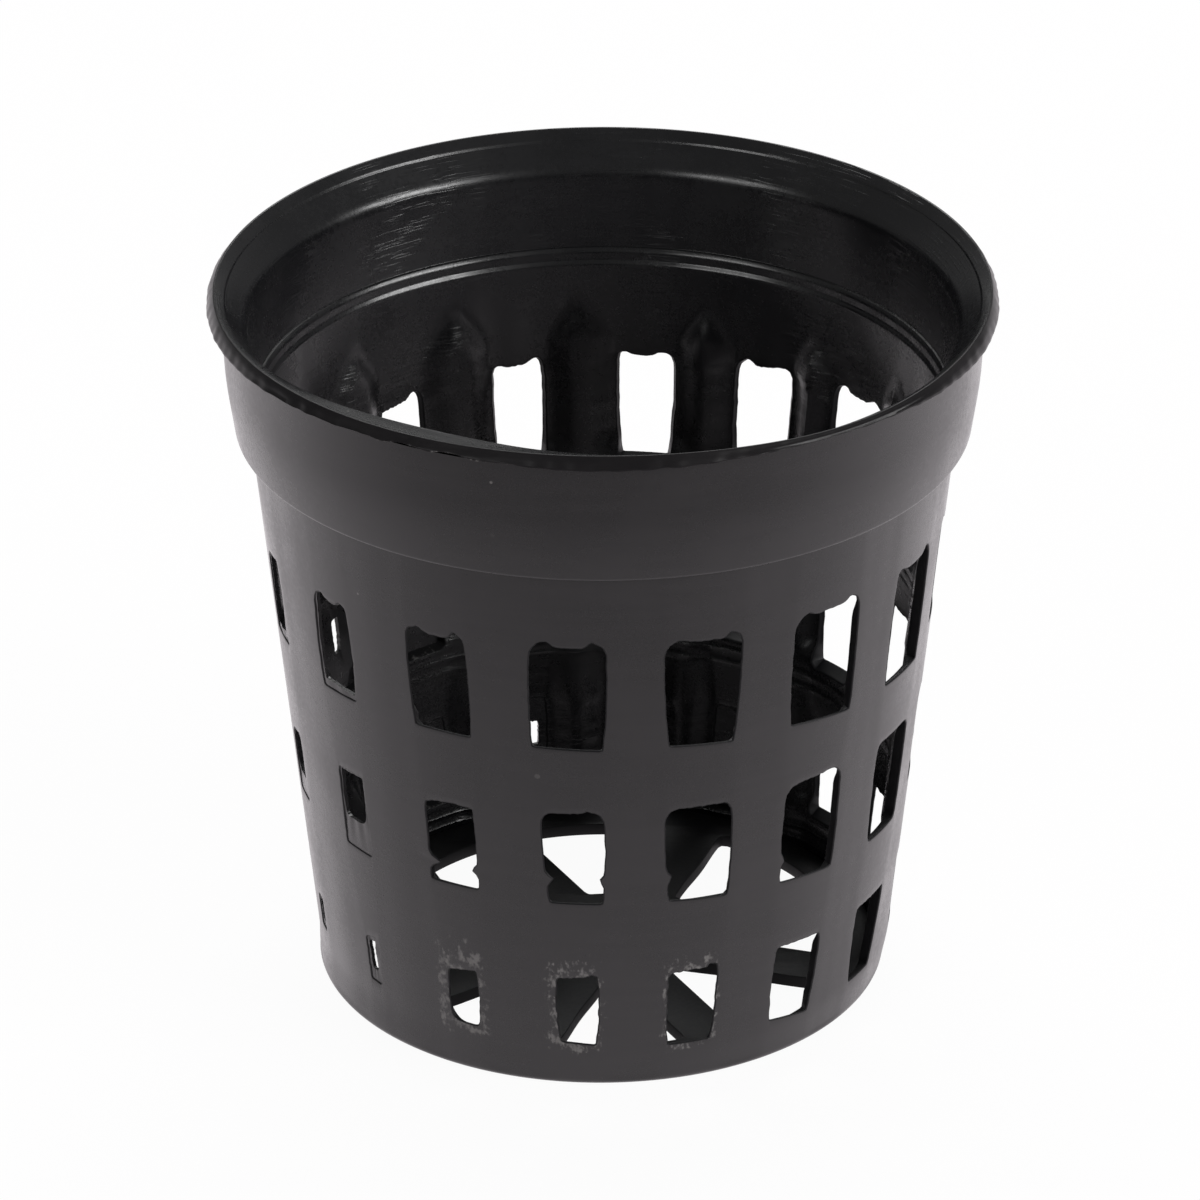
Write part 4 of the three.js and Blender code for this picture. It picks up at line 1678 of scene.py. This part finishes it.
@dataclass(frozen=True)
class PlasticFinish:
    """One finish of the black plastic; depths of relief are in millimetres."""

    name: str
    dark: tuple[float, float, float] = (0.0075, 0.0068, 0.0075)
    light: tuple[float, float, float] = (0.0110, 0.0100, 0.0108)
    roughness: float = 0.30
    gloss_spread: float = 0.1
    specular: float = 0.5
    ior: float = 1.5
    bump: float = 0.045
    bump_depth: float = 0.1
    grain: float = 3200.0
    dust: float = 0.12
    lint: tuple[float, float, float] = (0.25, 0.24, 0.23)
    lint_share: float = 0.55
    lint_relief: float = 0.8
    # Pale colour of frosted plastic, which is also the painted highlight on some window edges.
    frost_and_highlight: tuple[float, float, float] = (0.30, 0.29, 0.28)
    frost_range: tuple[float, float] = (0.05, 0.6)
    frost_share: float = 0.43
    frost_roughness: float = 0.3
    frost_relief: float = 0.6
    drag: float = 0.0
    drag_depth: float = 0.03

    def material(self, effects: Effects) -> bpy.types.Material:
        """Builds the finish as a material.

        Args:
            effects: the shared effect groups.

        Returns:
            The material.
        """
        made = bpy.data.materials.new(self.name)
        made.use_nodes = True
        graph = Graph(made.node_tree)
        shader = made.node_tree.nodes["Principled BSDF"]
        skin = effects.skin.put(graph, Grain=self.grain).outputs
        wear_and_painted_highlight = graph.node("ShaderNodeAttribute", attribute_name="frost_and_highlight").outputs["Fac"]
        rub = effects.rub.put(graph, Amount=wear_and_painted_highlight).outputs["Mask"]
        # This mask is real frosting and, on some window edges, a painted highlight.
        frosted_and_highlit = graph.math("MULTIPLY", rub, graph.remap(wear_and_painted_highlight, *self.frost_range))
        dust = effects.dust.put(graph, Share=self.dust).outputs["Mask"]
        colour = graph.blend(skin["Tone"], (*self.dark, 1.0), (*self.light, 1.0))
        colour = graph.blend(graph.math("MULTIPLY", dust, self.lint_share), colour, (*self.lint, 1.0))
        colour = graph.blend(graph.math("MULTIPLY", frosted_and_highlit, self.frost_share), colour, (*self.frost_and_highlight, 1.0))
        graph.feed(shader.inputs["Base Color"], colour)
        low, high = self.roughness - self.gloss_spread / 2, self.roughness + self.gloss_spread / 2
        rough = graph.remap(skin["Gloss"], 0.0, 1.0, low, high)
        rough = graph.math("ADD", rough, graph.math("MULTIPLY", frosted_and_highlit, self.frost_roughness), True)
        graph.feed(shader.inputs["Roughness"], rough)
        relief = graph.node("ShaderNodeBump")
        relief.inputs["Strength"].default_value = self.bump
        relief.inputs["Distance"].default_value = self.bump_depth * MM
        height = graph.math("ADD", skin["Height"], graph.math("MULTIPLY", frosted_and_highlit, self.frost_relief))
        height = graph.math("ADD", height, graph.math("MULTIPLY", dust, self.lint_relief))
        graph.feed(relief.inputs["Height"], height)
        if self.drag > 0.0:
            scratches = graph.node("ShaderNodeBump")
            scratches.inputs["Strength"].default_value = self.drag
            scratches.inputs["Distance"].default_value = self.drag_depth * MM
            graph.feed(scratches.inputs["Height"], effects.drag.put(graph).outputs["Height"])
            graph.feed(relief.inputs["Normal"], scratches.outputs["Normal"])
        graph.feed(shader.inputs["Normal"], relief.outputs["Normal"])
        shader.inputs["IOR"].default_value = self.ior
        shader.inputs["Specular IOR Level"].default_value = self.specular
        return made


OUTSIDE = PlasticFinish("satin_black_outside")
# The darker colours of this finish are painted shade for the inside of the basket; the window-sides and floor
# finishes made from it keep that painted shade.
INSIDE = PlasticFinish("smooth_shaded_black_inside", roughness=0.27, bump=0.02, dust=0.15, drag=0.34,
                       dark=(0.0048, 0.0048, 0.0056), light=(0.0068, 0.0067, 0.0076))
# Its low specular is painted shade: it keeps the window sides dark where they would reflect the bright
# backdrop.
WINDOW_SIDES = replace(
    INSIDE, name="dull_shaded_black_window_sides", roughness=0.45, dust=0.0, drag=0.0, specular=0.22)
GRILLE = replace(INSIDE, name="matt_black_floor", roughness=0.5, dust=0.05, drag=0.0, specular=0.25)
# Its low specular is painted shade: it keeps the lip dark where the lamps would light it.
LIP = PlasticFinish("shaded_black_lip", roughness=0.34, specular=0.18)


@dataclass(frozen=True)
class Lamp:
    """A soft area lamp: where it stands and aims, in metres, its size and its power in watts."""

    name: str
    place: tuple[float, float, float]
    size: tuple[float, float]
    power: float
    aim: tuple[float, float, float] = (0.0, 0.0, 0.03)


@dataclass
class Studio:
    """The pale floor, the white surroundings, the lamps and the camera, in metres and degrees."""

    floor_size: float = 6.0
    floor_drop: float = 0.02 * MM
    seen_share: float = 0.95
    # What reflections see of the floor is painted light: a glow brighter behind the basket than in front, and
    # a painted shadow (shade) under the basket.
    mirrored_back: float = 1.3
    mirrored_front: float = 0.5
    front_fade: tuple[float, float] = (-0.12, 0.04)
    outer_front: float = 0.4
    outer_fade: tuple[float, float] = (-0.3, -0.1)
    shade: float = 0.25
    shade_fade: tuple[float, float] = (0.012, 0.0205)
    floor_colour: tuple[float, float, float] = (0.93, 0.88, 0.91)
    azimuth: float = 5.8
    elevation: float = 27.124
    distance: float = 0.5536
    target_height: float = 0.02629
    target_shift: float = -0.00023
    roll: float = -0.122
    lens: float = 248.92
    sensor: float = 36.0
    nearest: float = 0.01
    ceiling: float = 0.2
    horizon: float = 0.08
    backdrop_front: float = 0.1
    backdrop_fade: tuple[float, float] = (-0.5, 0.2)
    lamps: tuple[Lamp, ...] = (
        Lamp("right_softbox", (0.76, -0.28, 0.32), (0.5, 0.2), 5.3),
        Lamp("left_softbox", (-0.48, -0.66, 0.32), (0.4, 0.2), 1.6),
        Lamp("back_softbox", (-0.1, 1.0, 1.25), (1.6, 0.8), 20.0))

    def build(self) -> None:
        """Sets up everything round the basket."""
        self.lay_floor()
        self.light_world()
        for lamp in self.lamps:
            self.hang(lamp)
        self.aim_camera()
        bpy.context.scene.view_settings.view_transform = "Standard"

    def lay_floor(self) -> None:
        """Lays the floor under the basket."""
        half = self.floor_size / 2
        mesh = bpy.data.meshes.new("studio_floor")
        corners = [(-half, -half, 0.0), (half, -half, 0.0), (half, half, 0.0), (-half, half, 0.0)]
        mesh.from_pydata(corners, [], [(0, 1, 2, 3)])
        floor = bpy.data.objects.new("studio_floor", mesh)
        floor.location.z = -self.floor_drop
        bpy.context.scene.collection.objects.link(floor)
        mesh.materials.append(self.floor_material())

    def floor_material(self) -> bpy.types.Material:
        """Pale paper: white to the eye, with the basket's shadow on it. Seen in reflections it glows with
        painted light: a pool brighter behind the basket than in front, with a painted shadow under the
        basket.

        Returns:
            The material.
        """
        material = bpy.data.materials.new("pale_floor")
        material.use_nodes = True
        graph = Graph(material.node_tree)
        material.node_tree.nodes.remove(material.node_tree.nodes["Principled BSDF"])
        paper = graph.node("ShaderNodeBsdfDiffuse")
        paper.inputs["Color"].default_value = (*self.floor_colour, 1.0)
        path = graph.node("ShaderNodeLightPath").outputs
        seen = path["Is Camera Ray"]
        mirrored = graph.math("MAXIMUM", path["Is Glossy Ray"], path["Is Transmission Ray"])
        place = graph.node("ShaderNodeSeparateXYZ")
        graph.feed(place.inputs[0], graph.place())
        # Painted light pool, seen only in reflections: brighter behind the basket, dimmer in front.
        fall = graph.remap(place.outputs["Y"], *self.front_fade, self.mirrored_front, self.mirrored_back)
        outer = graph.remap(place.outputs["Y"], *self.outer_fade, self.outer_front, 1.0)
        fall = graph.math("MULTIPLY", fall, outer)
        away = graph.node("ShaderNodeVectorMath", operation="LENGTH")
        graph.feed(away.inputs[0], graph.place())
        # Painted shadow under the basket, seen only in reflections.
        shaded = graph.remap(away.outputs["Value"], *self.shade_fade, self.shade, 1.0)
        fall = graph.math("MULTIPLY", fall, shaded)
        white = graph.node("ShaderNodeEmission")
        tint = tuple(part / max(self.floor_colour) for part in self.floor_colour)
        graph.feed(white.inputs["Color"], graph.blend(seen, (*tint, 1.0), (1.0, 1.0, 1.0, 1.0)))
        strength = graph.math("MAXIMUM", seen, graph.math("MULTIPLY", mirrored, fall))
        graph.feed(white.inputs["Strength"], strength)
        mixed = graph.node("ShaderNodeMixShader")
        plain = graph.math("MAXIMUM", graph.math("MULTIPLY", seen, self.seen_share), mirrored)
        graph.feed(mixed.inputs[0], plain)
        graph.feed(mixed.inputs[1], paper.outputs[0])
        graph.feed(mixed.inputs[2], white.outputs[0])
        graph.feed(material.node_tree.nodes["Material Output"].inputs["Surface"], mixed.outputs[0])
        return material

    def light_world(self) -> None:
        """Surrounds the basket with a backdrop that is white behind it and dim in front and overhead."""
        world = bpy.data.worlds.new("studio")
        bpy.context.scene.world = world
        world.use_nodes = True
        graph = Graph(world.node_tree)
        up = graph.node("ShaderNodeSeparateXYZ")
        graph.feed(up.inputs[0], graph.node("ShaderNodeTexCoord").outputs["Generated"])
        band = graph.remap(up.outputs["Z"], 0.0, self.horizon, 1.0, 0.0)
        behind = graph.remap(up.outputs["Y"], *self.backdrop_fade, self.backdrop_front, 1.0)
        level = graph.math("MAXIMUM", graph.math("MULTIPLY", band, behind), self.ceiling)
        path = graph.node("ShaderNodeLightPath").outputs
        mirrored = graph.math("MAXIMUM", path["Is Glossy Ray"], path["Is Transmission Ray"])
        plain = graph.math("MAXIMUM", path["Is Camera Ray"], graph.math("MULTIPLY", mirrored, self.ceiling))
        background = world.node_tree.nodes["Background"]
        graph.feed(background.inputs["Strength"], graph.math("MAXIMUM", level, plain))
        background.inputs["Color"].default_value = (1.0, 1.0, 1.0, 1.0)

    def hang(self, lamp: Lamp) -> None:
        """Hangs one lamp and aims it.

        Args:
            lamp: its place, aim, size and power.
        """
        data = bpy.data.lights.new(lamp.name, "AREA")
        data.shape = "RECTANGLE"
        data.size, data.size_y = lamp.size
        data.energy = lamp.power
        piece = bpy.data.objects.new(lamp.name, data)
        piece.location = lamp.place
        piece.rotation_euler = (Vector(lamp.aim) - Vector(lamp.place)).to_track_quat("-Z", "Y").to_euler()
        bpy.context.scene.collection.objects.link(piece)

    def aim_camera(self) -> None:
        """Stands the camera at the angle of the photograph."""
        turn, lift, roll = (math.radians(angle) for angle in (self.azimuth, self.elevation, self.roll))
        back = Vector((math.sin(turn) * math.cos(lift), -math.cos(turn) * math.cos(lift), math.sin(lift)))
        flat = Vector((math.cos(turn), math.sin(turn), 0.0))
        right = flat * math.cos(roll) + back.cross(flat) * math.sin(roll)
        up = back.cross(right)
        place = Vector((0.0, 0.0, self.target_height)) + flat * self.target_shift + back * self.distance
        data = bpy.data.cameras.new("camera")
        data.lens = self.lens
        data.sensor_width = self.sensor
        data.clip_start = self.nearest
        camera = bpy.data.objects.new("camera", data)
        camera.matrix_world = Matrix((
            (right.x, up.x, back.x, place.x), (right.y, up.y, back.y, place.y),
            (right.z, up.z, back.z, place.z), (0.0, 0.0, 0.0, 1.0)))
        bpy.context.scene.collection.objects.link(camera)
        bpy.context.scene.camera = camera


def numbered(stem: str, count: int, digits: int = 2) -> list[str]:
    """Names of repeated CAD nodes, counted from 1."""
    return [f"{stem}_{number:0{digits}d}" for number in range(1, count + 1)]


def main() -> None:
    """Builds and dresses the basket, then the studio round it."""
    logging.basicConfig(level=logging.INFO, format="%(name)s %(message)s")
    effects = Effects(moulded_skin(), settled_dust(), frosted_rub(), drag_marks())
    outside, inside = OUTSIDE.material(effects), INSIDE.material(effects)
    window_sides, lip, matt = (finish.material(effects) for finish in (WINDOW_SIDES, LIP, GRILLE))
    uprights = numbered("upright", COLUMNS)
    bars = [*numbered("crossbar_upper", COLUMNS), *numbered("crossbar_lower", COLUMNS)]
    mount(LatticeWall().build([outside, inside, window_sides]), [*uprights, *bars, "base_ring"])
    collar = Collar()
    mount(collar.build([outside, inside]), ["collar"])
    mount(RimLip(collar).build([lip, inside]), ["rim_lip"])
    grille = FloorGrille()
    mount(grille.build([matt, matt]), ["floor_hub", *numbered("spoke", grille.spokes, 1)])
    mount(FlashFilms().build([outside, inside]), [])
    Studio().build()


if __name__ == "__main__":
    main()
